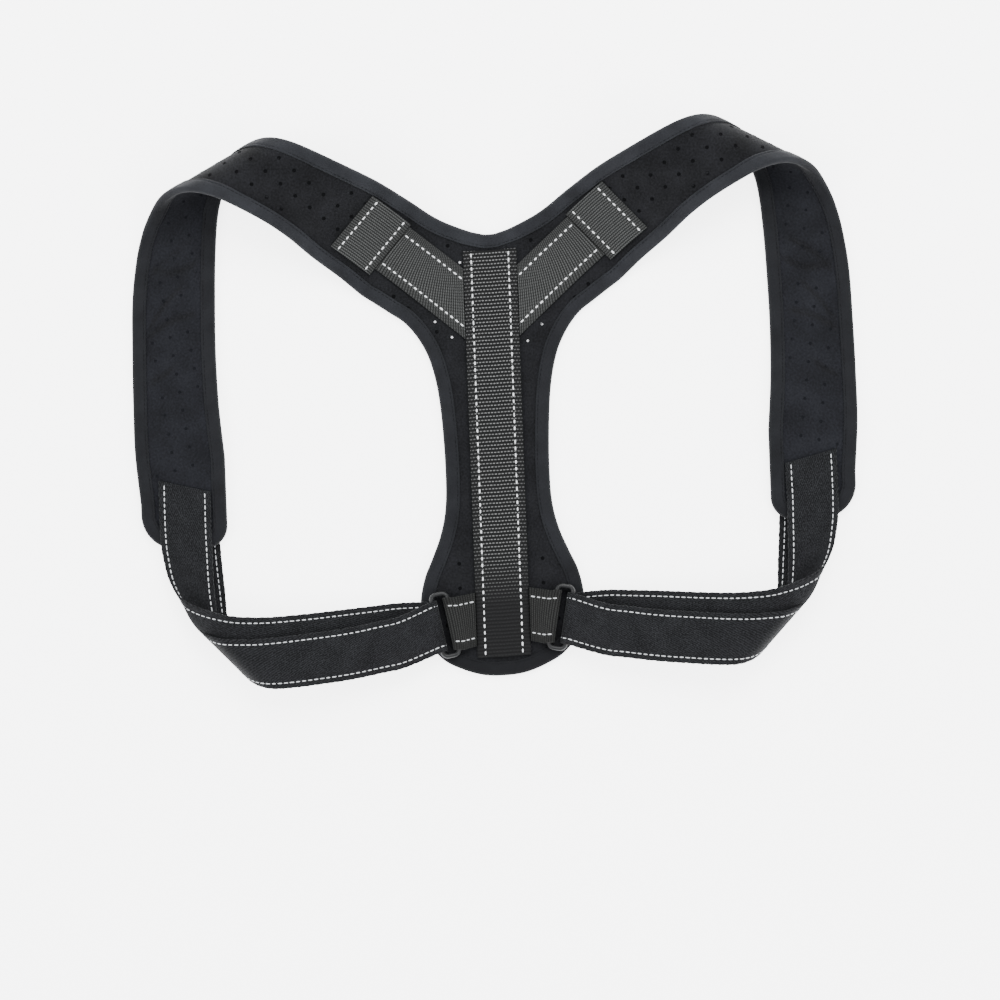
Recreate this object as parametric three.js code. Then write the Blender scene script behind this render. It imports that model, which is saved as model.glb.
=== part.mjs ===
// Posture corrector: a foam back panel with two shoulder straps, cut as one piece and bound with tape.
// It lies flat with its outer side up. X runs across the back, Y up the spine and Z away from the floor.
// Each shoulder strap rolls over at the shoulder, and its front stretch lies back on the floor.
import * as THREE from "three";

// Foam and tape
const FOAM = 3;                  // thickness of the laminated foam
const TAPE = 1;                  // thickness of one wall of the edge tape
const TAPE_REACH = 8.9;          // how far the tape covers the foam from its edge
const CLEARANCE = 0.3;           // gap between two pieces that touch

// Back panel, with its lowest point on the floor line Y = 0
const PANEL_HEIGHT = 314.5;      // from the lower tip to the bottom of the neckline
const PANEL_HALF_WIDTH = 58;     // from the spine to the widest point of the lower part

// Shoulder straps
const STRAP_WIDTH = 58.4;        // true width of a strap along its front stretch
const STRAP_LENGTH = 352;        // pattern length across the fold, from the foot of the rise to the end
const END_DROP = 31.5;           // how far the rounded end reaches below the last row of the pattern
const END_OUTER_RADIUS = 24;
const END_INNER_RADIUS = 15;
const FOLD_ANGLE = 28.4;         // turn of the fold line below the X axis, in degrees
const RISE_START = 278;          // from the origin, across the fold, to where the strap leaves the floor
const RISE_RUN = 114.5;          // floor length of the rise
const ROLL_RADIUS = 22.5;        // radius of the roll over the shoulder
const LIFT_PLACE = 92;           // how far before the roll the front stretch climbs on the adjusting strap
const LIFT_STEP = 38;            // floor length of that climb
const RIGHT_LIFT = 5.3;          // how much higher the right half is laid than the left one
const LIFT_RUN = 130;            // distance from the spine over which that lift grows

// Webbing sewn on the panel
const SPINE_WIDTH = 38.6;
const WEBBING = 1.8;             // thickness of the woven webbing
const SPINE_INSET = 11.3;        // from the panel's lower and upper ends to the ends of the spine webbing
const DIAGONAL_WIDTH = 39.2;
const DIAGONAL_ANGLE = 40.2;     // rise of a diagonal above the X axis, in degrees
const DIAGONAL_FOOT = 265.7;     // height on the spine where the middle of a diagonal starts
const PATCH_LENGTH = 46.8;       // across the strap
const PATCH_WIDTH = 37;          // along the strap
const PATCH_DISTANCE = 85.3;     // from the foot of the diagonal to the middle of the patch
const PATCH_SHIFT = 1.8;         // how far the patch is sewn from the diagonal's middle, toward the arm
const SEAT = 0.4;                // gap between webbing and the foam that it is sewn on

// Rings and the tabs that hold them
const RING_BAR = 3.2;            // diameter of the moulded bar
const RING_LENGTH = 45;          // between the middles of the short bars
const RING_SPAN = 11.8;          // between the middles of the long bars
const RING_CORNER = 3.8;
const RING_LEAN = 10.6;          // turn of the ring's long side away from the spine, in degrees
const RING_OUT = 41.6;           // from the spine to the middle of the ring
const RING_UP = 36;              // from the lower tip to the middle of the ring
const RING_HEIGHT = 10.2;        // middle of the bar above the floor
const TAB_WIDTH = 38.4;
const TAB_RISE = 2.8;            // how much higher a tab is sewn on at the spine than it lies at its ring

// Adjusting straps
const ADJUST_WIDTH = 37;
const ADJUST = 1.8;              // thickness of the strap
const CURL_HEIGHT = 36;          // height of the roll at the lower corner
const ADJUST_INSET = 1.6;        // how far it is sewn from the middle of the front strap

// Outline of the panel below the straps: distance from the spine and height above the lower tip
const PANEL_OUTLINE = [
  { out: 0.00, up: -0.003 }, { out: 0.14, up: -0.003 }, { out: 0.30, up: 0.001 },
  { out: 0.50, up: 0.013 }, { out: 0.72, up: 0.034 }, { out: 0.89, up: 0.070 },
  { out: 0.98, up: 0.118 }, { out: 0.99, up: 0.168 }, { out: 0.93, up: 0.220 },
  { out: 0.83, up: 0.263 }, { out: 0.72, up: 0.314 }, { out: 0.65, up: 0.368 },
  { out: 0.625, up: 0.43 }, { out: 0.635, up: 0.54 }, { out: 0.68, up: 0.645 },
  { out: 0.77, up: 0.720 }, { out: 0.90, up: 0.770 }, { out: 1.07, up: 0.809 },
  { out: 1.26, up: 0.834 },
];

// Pattern of a strap: distance across the fold, middle along the fold, and width measured along the fold.
// The first two are shares of the strap's length and the last one is a share of its true width.
const STRAP_PATTERN = [
  { across: 0.000, middle: -0.284, width: 1.570 },
  { across: 0.024, middle: -0.265, width: 1.490 },
  { across: 0.077, middle: -0.235, width: 1.360 },
  { across: 0.147, middle: -0.204, width: 1.320 },
  { across: 0.214, middle: -0.176, width: 1.250 },
  { across: 0.273, middle: -0.144, width: 1.190 },
  { across: 0.346, middle: -0.096, width: 1.165 },
  { across: 0.383, middle: -0.066, width: 1.180 },
  { across: 0.418, middle: -0.033, width: 1.200 },
  { across: 0.453, middle: 0.005, width: 1.200 },
  { across: 0.489, middle: 0.043, width: 1.180 },
  { across: 0.523, middle: 0.085, width: 1.140 },
  { across: 0.560, middle: 0.122, width: 1.120 },
  { across: 0.630, middle: 0.172, width: 1.140 },
  { across: 0.722, middle: 0.227, width: 1.135 },
  { across: 0.812, middle: 0.278, width: 1.135 },
  { across: 0.903, middle: 0.325, width: 1.150 },
  { across: 1.000, middle: 0.368, width: 1.150 },
];

// Adjusting strap, from the ring to where it is sewn (inner run) and to its fastened end (outer run).
// Places are shares of the way from the ring's outer bar to the front strap's end, heights are shares
// of the corner roll, and the width across is turned from the X axis, tipped, and stretched where oblique.
const INNER_RUN = [
  { out: 0.156, up: -0.003, high: 0.30, turn: 86, tip: 0, stretch: 1.00 },
  { out: 0.343, up: -0.042, high: 0.50, turn: 89, tip: 2, stretch: 1.00 },
  { out: 0.545, up: -0.082, high: 0.68, turn: 88, tip: 3, stretch: 1.00 },
  { out: 0.668, up: -0.094, high: 0.78, turn: 78, tip: 5, stretch: 1.02 },
  { out: 0.762, up: -0.080, high: 0.77, turn: 65, tip: 7, stretch: 1.14 },
  { out: 0.834, up: -0.036, high: 0.71, turn: 58, tip: 6, stretch: 1.30 },
  { out: 0.890, up: 0.020, high: 0.60, turn: 55, tip: 5, stretch: 1.40 },
  { out: 0.936, up: 0.105, high: 0.49, turn: 53, tip: 5, stretch: 1.36 },
  { out: 0.961, up: 0.232, high: 0.38, turn: 48, tip: 4, stretch: 1.26 },
  { out: 0.978, up: 0.385, high: 0.29, turn: 40, tip: 1, stretch: 1.16 },
  { out: 0.989, up: 0.555, high: 0.25, turn: 29, tip: 0, stretch: 1.05 },
  { out: 0.996, up: 0.754, high: 0.25, turn: 18, tip: 0, stretch: 1.00 },
  { out: 1.001, up: 0.986, high: 0.255, turn: 7, tip: 0, stretch: 1.00 },
  { out: 1.003, up: 1.240, high: 0.25, turn: 0, tip: 0, stretch: 1.00 },
  { out: 1.002, up: 1.688, high: 0.212, turn: -2, tip: 0, stretch: 1.00 },
];
const OUTER_RUN = [
  { out: 0.145, up: -0.150, high: 0.58, turn: 86, tip: 0, stretch: 1.00 },
  { out: 0.343, up: -0.246, high: 0.78, turn: 89, tip: 0, stretch: 1.00 },
  { out: 0.520, up: -0.296, high: 0.91, turn: 84, tip: 0, stretch: 1.00 },
  { out: 0.610, up: -0.316, high: 0.94, turn: 74, tip: 0, stretch: 1.02 },
  { out: 0.675, up: -0.325, high: 0.94, turn: 64, tip: 0, stretch: 1.08 },
  { out: 0.730, up: -0.322, high: 0.93, turn: 56, tip: 1, stretch: 1.18 },
  { out: 0.780, up: -0.306, high: 0.88, turn: 51, tip: 4, stretch: 1.25 },
  { out: 0.823, up: -0.270, high: 0.74, turn: 49, tip: 6, stretch: 1.26 },
  { out: 0.858, up: -0.210, high: 0.54, turn: 47, tip: 5, stretch: 1.21 },
  { out: 0.893, up: -0.060, high: 0.31, turn: 45, tip: 3, stretch: 1.15 },
  { out: 0.920, up: 0.142, high: 0.15, turn: 39, tip: 1, stretch: 1.06 },
  { out: 0.942, up: 0.358, high: 0.06, turn: 29, tip: 0, stretch: 1.00 },
  { out: 0.958, up: 0.592, high: 0.025, turn: 15, tip: 0, stretch: 1.00 },
  { out: 0.968, up: 0.830, high: 0.025, turn: 7, tip: 0, stretch: 1.00 },
  { out: 0.976, up: 1.180, high: 0.025, turn: 1, tip: 0, stretch: 1.00 },
  { out: 0.982, up: 1.737, high: 0.025, turn: -1, tip: 0, stretch: 1.00 },
];

// What follows from the sizes
const DEGREE = Math.PI / 180;
const HALF_FOAM = FOAM / 2;
const TAPE_OUTSIDE = HALF_FOAM + CLEARANCE + TAPE;
const REST_HEIGHT = TAPE_OUTSIDE;                        // middle of the foam above the floor
const LIFTED_HEIGHT = ADJUST + CLEARANCE + TAPE_OUTSIDE;  // the same over the end of an adjusting strap
const RISE_HEIGHT = 2 * ROLL_RADIUS;
const ROLL_PLACE = RISE_START + RISE_RUN;
const WEBBING_LOW = HALF_FOAM + SEAT;
const WEBBING_HIGH = WEBBING_LOW + WEBBING;
const fold = {
  along: new THREE.Vector2(Math.cos(FOLD_ANGLE * DEGREE), -Math.sin(FOLD_ANGLE * DEGREE)),
  across: new THREE.Vector2(Math.sin(FOLD_ANGLE * DEGREE), Math.cos(FOLD_ANGLE * DEGREE)),
};

// Value of a column of a table at a place, as a smooth curve through its rows
function tableValue(rows, key, column, place) {
  let i = 0;
  while (i < rows.length - 2 && place > rows[i + 1][key]) i++;
  const before = rows[Math.max(i - 1, 0)];
  const start = rows[i];
  const end = rows[i + 1];
  const after = rows[Math.min(i + 2, rows.length - 1)];
  const step = end[key] - start[key];
  const t = (place - start[key]) / step;
  const slopeIn = (end[column] - before[column]) / (end[key] - before[key]) * step;
  const slopeOut = (after[column] - start[column]) / (after[key] - start[key]) * step;
  const t2 = t * t;
  const t3 = t2 * t;
  return (2 * t3 - 3 * t2 + 1) * start[column] + (t3 - 2 * t2 + t) * slopeIn
    + (3 * t2 - 2 * t3) * end[column] + (t3 - t2) * slopeOut;
}

function smoothStep(share) {
  const s = Math.min(Math.max(share, 0), 1);
  return s * s * (3 - 2 * s);
}

// Side view of a strap across the fold: it rises, rolls over and comes back along the floor
const sideView = [];
function addSidePoint(across, height) {
  const last = sideView[sideView.length - 1];
  const length = last ? last.length + Math.hypot(across - last.across, height - last.height) : 0;
  sideView.push({ across, height, length });
}
for (let i = 0; i <= 60; i++) {
  addSidePoint(RISE_START + RISE_RUN * i / 60, REST_HEIGHT + RISE_HEIGHT * smoothStep(i / 60));
}
const RISE_LENGTH = sideView[sideView.length - 1].length;
for (let i = 1; i <= 60; i++) {
  const angle = Math.PI * i / 60;
  addSidePoint(ROLL_PLACE + ROLL_RADIUS * Math.sin(angle), REST_HEIGHT + ROLL_RADIUS * (1 + Math.cos(angle)));
}
const ROLL_END = sideView[sideView.length - 1].length;
for (let i = 1; i <= 60; i++) {
  const across = ROLL_PLACE - (STRAP_LENGTH - ROLL_END + 2 * END_DROP) * i / 60;
  const raised = (LIFTED_HEIGHT - REST_HEIGHT) * smoothStep((ROLL_PLACE - LIFT_PLACE - across) / LIFT_STEP);
  addSidePoint(across, REST_HEIGHT + raised);
}

// Place and direction on that side view at a pattern length
function sidePlace(length) {
  let i = 1;
  while (i < sideView.length - 1 && length > sideView[i].length) i++;
  const start = sideView[i - 1];
  const end = sideView[i];
  const share = (length - start.length) / (end.length - start.length);
  const before = sideView[Math.max(i - 2, 0)];
  const after = sideView[Math.min(i + 1, sideView.length - 1)];
  const first = { x: end.across - before.across, z: end.height - before.height };
  const second = { x: after.across - start.across, z: after.height - start.height };
  const x = first.x + (second.x - first.x) * share;
  const z = first.z + (second.z - first.z) * share;
  const size = Math.hypot(x, z);
  return {
    across: start.across + (end.across - start.across) * share,
    height: start.height + (end.height - start.height) * share,
    normal: { across: -z / size, height: x / size },
  };
}

// Higher laying of the right half
function sideLift(x) {
  return x > 0 ? RIGHT_LIFT * Math.sin(Math.PI / 2 * Math.min(x / LIFT_RUN, 1)) : 0;
}

// Point of the worn part for a pattern point and a height above the middle of the foam
function onFoam(x, y, high) {
  const side = x < 0 ? -1 : 1;
  const out = Math.abs(x);
  const across = out * fold.across.x + y * fold.across.y;
  const along = out * fold.along.x + y * fold.along.y;
  if (across <= RISE_START) return new THREE.Vector3(x, y + sideLift(x), REST_HEIGHT + high);
  const spot = sidePlace(across - RISE_START);
  const reach = spot.across + spot.normal.across * high;
  const placedX = side * (fold.along.x * along + fold.across.x * reach);
  const placedY = fold.along.y * along + fold.across.y * reach;
  return new THREE.Vector3(placedX, placedY + sideLift(placedX), spot.height + spot.normal.height * high);
}

// Pattern point from its places across and along the fold
function foldPoint(across, along) {
  return new THREE.Vector2(
    fold.across.x * across + fold.along.x * along,
    fold.across.y * across + fold.along.y * along,
  );
}

// Closed geometry from points and triangles, turned so that its faces point out
function closedGeometry(points, triangles) {
  let volume = 0;
  const corner = new THREE.Vector3();
  for (const [a, b, c] of triangles) {
    volume += points[a].dot(corner.crossVectors(points[b], points[c]));
  }
  const positions = points.flatMap((p) => [p.x, p.y, p.z]);
  const order = triangles.flatMap(([a, b, c]) => (volume < 0 ? [a, c, b] : [a, b, c]));
  const geometry = new THREE.BufferGeometry();
  geometry.setAttribute("position", new THREE.Float32BufferAttribute(positions, 3));
  geometry.setIndex(order);
  geometry.computeVertexNormals();
  return geometry;
}

// Flat pattern, given as triangles of pattern points, as a closed sheet between two heights on the foam
function sheet(patternTriangles, low, high, place) {
  const numbers = new Map();
  const flat = [];
  function numberOf(point) {
    const name = `${point.x.toFixed(4)} ${point.y.toFixed(4)}`;
    if (!numbers.has(name)) {
      numbers.set(name, flat.length);
      flat.push(point);
    }
    return numbers.get(name);
  }
  const faces = [];
  for (const corners of patternTriangles) {
    const [a, b, c] = corners.map(numberOf);
    const first = { x: flat[b].x - flat[a].x, y: flat[b].y - flat[a].y };
    const second = { x: flat[c].x - flat[a].x, y: flat[c].y - flat[a].y };
    const turn = first.x * second.y - first.y * second.x;
    if (a === b || b === c || c === a) continue;
    faces.push(turn < 0 ? [a, c, b] : [a, b, c]);
  }
  const edges = new Set();
  for (const [a, b, c] of faces) {
    edges.add(`${a} ${b}`).add(`${b} ${c}`).add(`${c} ${a}`);
  }
  const count = flat.length;
  const points = [...flat.map((p) => place(p.x, p.y, high)), ...flat.map((p) => place(p.x, p.y, low))];
  const triangles = [];
  for (const [a, b, c] of faces) {
    triangles.push([a, b, c], [a + count, c + count, b + count]);
  }
  for (const edge of edges) {
    const [a, b] = edge.split(" ").map(Number);
    if (!edges.has(`${b} ${a}`)) triangles.push([a, a + count, b + count], [a, b + count, b]);
  }
  return closedGeometry(points, triangles);
}

// Closed loop of like sections, each a list of points
function sectionLoop(sections) {
  const size = sections[0].length;
  const points = sections.flat();
  const triangles = [];
  for (let i = 0; i < sections.length; i++) {
    const next = (i + 1) % sections.length;
    for (let j = 0; j < size; j++) {
      const k = (j + 1) % size;
      const [a, b, c, d] = [i * size + j, i * size + k, next * size + k, next * size + j];
      triangles.push([a, b, c], [a, c, d]);
    }
  }
  return closedGeometry(points, triangles);
}

// Band of webbing through a list of rulings, each with a middle and a vector to its first edge
function band(rulings, thickness) {
  const points = [];
  rulings.forEach(({ middle, half }, i) => {
    const before = rulings[Math.max(i - 1, 0)].middle;
    const after = rulings[Math.min(i + 1, rulings.length - 1)].middle;
    const normal = new THREE.Vector3().subVectors(after, before).cross(half).setLength(thickness / 2);
    points.push(
      middle.clone().add(half).add(normal), middle.clone().sub(half).add(normal),
      middle.clone().sub(half).sub(normal), middle.clone().add(half).sub(normal),
    );
  });
  const last = points.length - 4;
  const triangles = [[0, 2, 1], [0, 3, 2], [last, last + 1, last + 2], [last, last + 2, last + 3]];
  for (let i = 0; i < rulings.length - 1; i++) {
    for (let j = 0; j < 4; j++) {
      const k = (j + 1) % 4;
      const [a, b, c, d] = [4 * i + j, 4 * i + k, 4 * i + 4 + k, 4 * i + 4 + j];
      if (j === 2) triangles.push([a, b, d], [b, c, d]);
      else triangles.push([a, b, c], [a, c, d]);
    }
  }
  return closedGeometry(points, triangles);
}

// Lengths across the fold at which a strap has a row of points
function strapRows() {
  const rows = [];
  for (let i = 0; i < 16; i++) rows.push(RISE_LENGTH * i / 16);
  for (let i = 0; i < 14; i++) rows.push(RISE_LENGTH + (ROLL_END - RISE_LENGTH) * i / 14);
  for (let i = 0; i <= 8; i++) rows.push(ROLL_END + (STRAP_LENGTH - ROLL_END) * i / 8);
  return rows;
}

// One row of a strap: its neck edge and its arm edge in the pattern
function strapRow(length) {
  const share = length / STRAP_LENGTH;
  const middle = STRAP_LENGTH * tableValue(STRAP_PATTERN, "across", "middle", share);
  const half = STRAP_WIDTH * tableValue(STRAP_PATTERN, "across", "width", share) / 2;
  const across = RISE_START + length;
  return { length, neck: foldPoint(across, middle - half), arm: foldPoint(across, middle + half) };
}

const strapGrid = strapRows().map(strapRow);

// Rounded end of a strap, square to its front stretch, from its arm edge to its neck edge
function strapEnd() {
  const { arm, neck } = strapGrid[strapGrid.length - 1];
  const down = foldPoint(Math.cos(FOLD_ANGLE * DEGREE), Math.sin(FOLD_ANGLE * DEGREE));
  const wide = new THREE.Vector2(down.y, -down.x);
  const width = arm.clone().sub(neck).dot(wide);
  const foot = arm.clone().addScaledVector(down, END_DROP);
  const path = new THREE.Path();
  path.moveTo(0, END_OUTER_RADIUS);
  path.absarc(-END_OUTER_RADIUS, END_OUTER_RADIUS, END_OUTER_RADIUS, 0, -Math.PI / 2, true);
  path.absarc(END_INNER_RADIUS - width, END_INNER_RADIUS, END_INNER_RADIUS, -Math.PI / 2, -Math.PI, true);
  const points = path.getPoints(6).slice(1);
  return points.map((p) => foot.clone().addScaledVector(wide, p.x).addScaledVector(down, -p.y));
}

const endOutline = strapEnd();
const panelSide = PANEL_OUTLINE.map(
  ({ out, up }) => new THREE.Vector2(out * PANEL_HALF_WIDTH, up * PANEL_HEIGHT),
);

function mirrored(point) {
  return new THREE.Vector2(-point.x, point.y);
}

// Foam: the panel's centre is one flat outline, and each strap is a row of strips that follow the fold
function foamTriangles() {
  const start = strapGrid[0];
  const right = [...panelSide, start.arm, start.neck];
  const left = [...right].reverse().filter((p) => p.x > 0).map(mirrored);
  const finish = strapGrid[strapGrid.length - 1];
  const end = [finish.arm, ...endOutline, finish.neck];
  const triangles = [[...right, ...left], end, end.map(mirrored).reverse()].flatMap((outline) => (
    THREE.ShapeUtils.triangulateShape(outline, []).map((face) => face.map((i) => outline[i]))
  ));
  for (let i = 0; i < strapGrid.length - 1; i++) {
    const here = strapGrid[i];
    const next = strapGrid[i + 1];
    for (const turn of [(p) => p, mirrored]) {
      triangles.push([turn(here.neck), turn(here.arm), turn(next.arm)]);
      triangles.push([turn(here.neck), turn(next.arm), turn(next.neck)]);
    }
  }
  return triangles;
}

// Outline of the right half, from the lower tip round the strap to the neckline
function halfOutline() {
  const arm = strapGrid.map(({ arm: point, length }) => ({ point, length, inward: -1 }));
  const neck = strapGrid.map(({ neck: point, length }) => ({ point, length, inward: 1 })).reverse();
  const flat = (point) => ({ point, length: null });
  return [...panelSide.map(flat), ...arm, ...endOutline.map(flat), ...neck];
}

// Stations of the tape: a point of the outline and the way in over the foam for each unit of reach.
// On the rise and the roll the way in follows the fold, so that the tape bends with the foam.
function tapeStations() {
  const half = halfOutline();
  const other = half.slice(1).reverse().map((s) => ({ ...s, point: mirrored(s.point), turned: true }));
  const loop = [...half, ...other];
  return loop.map((station, i) => {
    const before = loop[(i - 1 + loop.length) % loop.length].point;
    const after = loop[(i + 1) % loop.length].point;
    const tangent = new THREE.Vector2().subVectors(after, before).normalize();
    const square = new THREE.Vector2(-tangent.y, tangent.x);
    if (station.length === null) return { point: station.point, way: square };
    const ruling = fold.along.clone().multiplyScalar(station.inward);
    if (station.turned) ruling.x = -ruling.x;
    ruling.divideScalar(Math.max(Math.abs(ruling.cross(tangent)), 0.3));
    const curved = smoothStep(station.length / 12) * smoothStep((ROLL_END + 40 - station.length) / 36);
    return { point: station.point, way: square.lerp(ruling, curved) };
  });
}

// Tape folded round the foam edge: an open channel carried along the outline
function edgeBinding() {
  const inside = HALF_FOAM + CLEARANCE;
  const channel = [
    { reach: -CLEARANCE - TAPE, high: -TAPE_OUTSIDE }, { reach: -CLEARANCE - TAPE, high: TAPE_OUTSIDE },
    { reach: TAPE_REACH, high: TAPE_OUTSIDE }, { reach: TAPE_REACH, high: inside },
    { reach: -CLEARANCE, high: inside }, { reach: -CLEARANCE, high: -inside },
    { reach: TAPE_REACH, high: -inside }, { reach: TAPE_REACH, high: -TAPE_OUTSIDE },
  ];
  const sections = tapeStations().map(({ point, way }) => channel.map(
    ({ reach, high }) => onFoam(point.x + way.x * reach, point.y + way.y * reach, high),
  ));
  return sectionLoop(sections);
}

// Rectangle of webbing on the foam, split into cells that follow the rise
function webbing(cornerAt, stepsAlong, stepsWide) {
  const triangles = [];
  for (let i = 0; i < stepsAlong; i++) {
    for (let j = 0; j < stepsWide; j++) {
      const [a, b] = [cornerAt(i / stepsAlong, j / stepsWide), cornerAt((i + 1) / stepsAlong, j / stepsWide)];
      const [c, d] = [
        cornerAt((i + 1) / stepsAlong, (j + 1) / stepsWide), cornerAt(i / stepsAlong, (j + 1) / stepsWide),
      ];
      triangles.push([a, b, c], [a, c, d]);
    }
  }
  return sheet(triangles, WEBBING_LOW, WEBBING_HIGH, onFoam);
}

function spineWebbing() {
  const top = PANEL_HEIGHT - SPINE_INSET;
  return webbing((along, wide) => new THREE.Vector2(
    SPINE_WIDTH * (wide - 0.5),
    SPINE_INSET + (top - SPINE_INSET) * along,
  ), 1, 1);
}

// Point beside the line of a diagonal: distance from its foot and distance to its upper side
function diagonalPoint(side, distance, aside) {
  const c = Math.cos(DIAGONAL_ANGLE * DEGREE);
  const s = Math.sin(DIAGONAL_ANGLE * DEGREE);
  const foot = SPINE_WIDTH / 2 + CLEARANCE;
  const out = foot + distance * c - aside * s;
  return new THREE.Vector2(side * out, DIAGONAL_FOOT + distance * s + aside * c);
}

function diagonalWebbing(side) {
  const end = PATCH_DISTANCE - PATCH_WIDTH / 2 - CLEARANCE;
  return webbing((along, wide) => {
    const aside = DIAGONAL_WIDTH * (wide - 0.5);
    const start = aside * Math.tan(DIAGONAL_ANGLE * DEGREE);
    return diagonalPoint(side, start + (end - start) * along, aside);
  }, 9, 4);
}

function crossPatch(side) {
  return webbing((along, wide) => diagonalPoint(
    side,
    PATCH_DISTANCE + PATCH_WIDTH * (along - 0.5),
    PATCH_LENGTH * (wide - 0.5) - PATCH_SHIFT,
  ), 4, 7);
}

// Ring frame on one side: its middle, its long way and its short way out from the spine
function ringFrame(side) {
  const lean = RING_LEAN * DEGREE;
  const x = side * RING_OUT;
  return {
    middle: new THREE.Vector3(x, RING_UP + sideLift(x), RING_HEIGHT),
    long: new THREE.Vector3(side * Math.sin(lean), Math.cos(lean), 0),
    short: new THREE.Vector3(side * Math.cos(lean), -Math.sin(lean), 0),
  };
}

function ringPoint(frame, short, long, high) {
  return frame.middle.clone().addScaledVector(frame.short, short).addScaledVector(frame.long, long)
    .add(new THREE.Vector3(0, 0, high));
}

// Ring: a round bar carried round a rectangle with rounded corners
function ring(side) {
  const frame = ringFrame(side);
  const sections = [];
  const cornerSteps = 4;
  for (let corner = 0; corner < 4; corner++) {
    const signShort = corner === 0 || corner === 3 ? 1 : -1;
    const signLong = corner < 2 ? 1 : -1;
    for (let step = 0; step <= cornerSteps; step++) {
      const angle = (corner + step / cornerSteps) * Math.PI / 2;
      const short = signShort * (RING_SPAN / 2 - RING_CORNER);
      const long = signLong * (RING_LENGTH / 2 - RING_CORNER);
      const section = [];
      for (let j = 0; j < 8; j++) {
        const turn = (j + 0.5) * Math.PI / 4;
        const reach = RING_CORNER + RING_BAR / 2 * Math.cos(turn);
        section.push(ringPoint(
          frame,
          short + reach * Math.cos(angle),
          long + reach * Math.sin(angle),
          RING_BAR / 2 * Math.sin(turn),
        ));
      }
      sections.push(section);
    }
  }
  return sectionLoop(sections);
}

// Turn of a strap of some thickness round a long bar, from below the bar to above it
function barTurn(frame, short, outward, halfWidth, thickness) {
  const radius = RING_BAR / 2 + SEAT + thickness / 2;
  const rulings = [];
  for (let i = 0; i <= 6; i++) {
    const angle = Math.PI * i / 6;
    rulings.push({
      middle: ringPoint(frame, short + outward * radius * Math.sin(angle), 0, -radius * Math.cos(angle)),
      half: frame.long.clone().multiplyScalar(halfWidth),
    });
  }
  return rulings;
}

// Tab: one piece of webbing from the spine round the ring's inner bar and back on itself
function ringTab(side) {
  const frame = ringFrame(side);
  const start = SPINE_WIDTH / 2 + CLEARANCE;
  const upright = new THREE.Vector3(0, TAB_WIDTH / 2, 0);
  const low = REST_HEIGHT + WEBBING_LOW + WEBBING / 2;
  const high = low + WEBBING + SEAT;
  const barTop = RING_HEIGHT + RING_BAR / 2 + SEAT + WEBBING / 2;
  const barLow = RING_HEIGHT - RING_BAR / 2 - SEAT - WEBBING / 2;
  const bar = frame.middle.clone().addScaledVector(frame.short, -RING_SPAN / 2);
  const reach = Math.abs(bar.x) - start;
  function atShare(share, z) {
    const y = frame.middle.y + TAB_RISE * (1 - share);
    const middle = new THREE.Vector3(side * (start + reach * share), y, z);
    return { middle, half: upright.clone().lerp(frame.long.clone().multiplyScalar(TAB_WIDTH / 2), share) };
  }
  const rulings = [
    atShare(0, low), atShare(0.3, low), atShare(0.6, low + (barLow - low) * 0.3), atShare(0.85, barLow),
    ...barTurn(frame, -RING_SPAN / 2, 1, TAB_WIDTH / 2, WEBBING),
    atShare(0.75, barTop - (barTop - high) * 0.15), atShare(0.5, high + (barTop - high) * 0.45),
    atShare(0.3, high + (barTop - high) * 0.1), atShare(0.12, high), atShare(0, high),
  ];
  return band(rulings, WEBBING);
}

// Rulings of one run of the adjusting strap, from its table
function runRulings(side, rows, steps) {
  const frame = ringFrame(1);
  const bar = frame.middle.clone().addScaledVector(frame.short, RING_SPAN / 2);
  const finish = strapGrid[strapGrid.length - 1];
  const arm = onFoam(finish.arm.x, finish.arm.y, 0);
  const neck = onFoam(finish.neck.x, finish.neck.y, 0);
  const endX = (arm.x + neck.x) / 2 - ADJUST_INSET;
  const endY = arm.y - END_DROP - sideLift(arm.x);
  const barY = bar.y - sideLift(bar.x);
  const numbered = rows.map((row, i) => ({ ...row, place: i }));
  const rulings = [];
  for (let i = 0; i <= steps; i++) {
    const place = (rows.length - 1) * i / steps;
    const value = (column) => tableValue(numbered, "place", column, place);
    const x = side * (bar.x + (endX - bar.x) * value("out"));
    const y = barY + (endY - barY) * value("up") + sideLift(x);
    const turn = value("turn") * DEGREE;
    const tip = value("tip") * DEGREE;
    const half = new THREE.Vector3(
      side * Math.cos(tip) * Math.cos(turn), Math.cos(tip) * Math.sin(turn), Math.sin(tip),
    );
    rulings.push({
      middle: new THREE.Vector3(x, y, CURL_HEIGHT * value("high")),
      half: half.multiplyScalar(ADJUST_WIDTH / 2 * value("stretch")),
    });
  }
  return rulings;
}

// Adjusting strap: sewn on the front strap, down and over to the ring, round its bar and back under
function adjustStrap(side) {
  const frame = ringFrame(side);
  return band([
    ...runRulings(side, INNER_RUN, 33).reverse(),
    ...barTurn(frame, RING_SPAN / 2, -1, ADJUST_WIDTH / 2, ADJUST),
    ...runRulings(side, OUTER_RUN, 36),
  ], ADJUST);
}

// Finishes and assembly
const group = new THREE.Group();

function addPiece(name, geometry, color, roughness) {
  const material = new THREE.MeshStandardMaterial({ color, roughness, metalness: 0 });
  const mesh = new THREE.Mesh(geometry, material);
  mesh.name = name;
  group.add(mesh);
}

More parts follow.
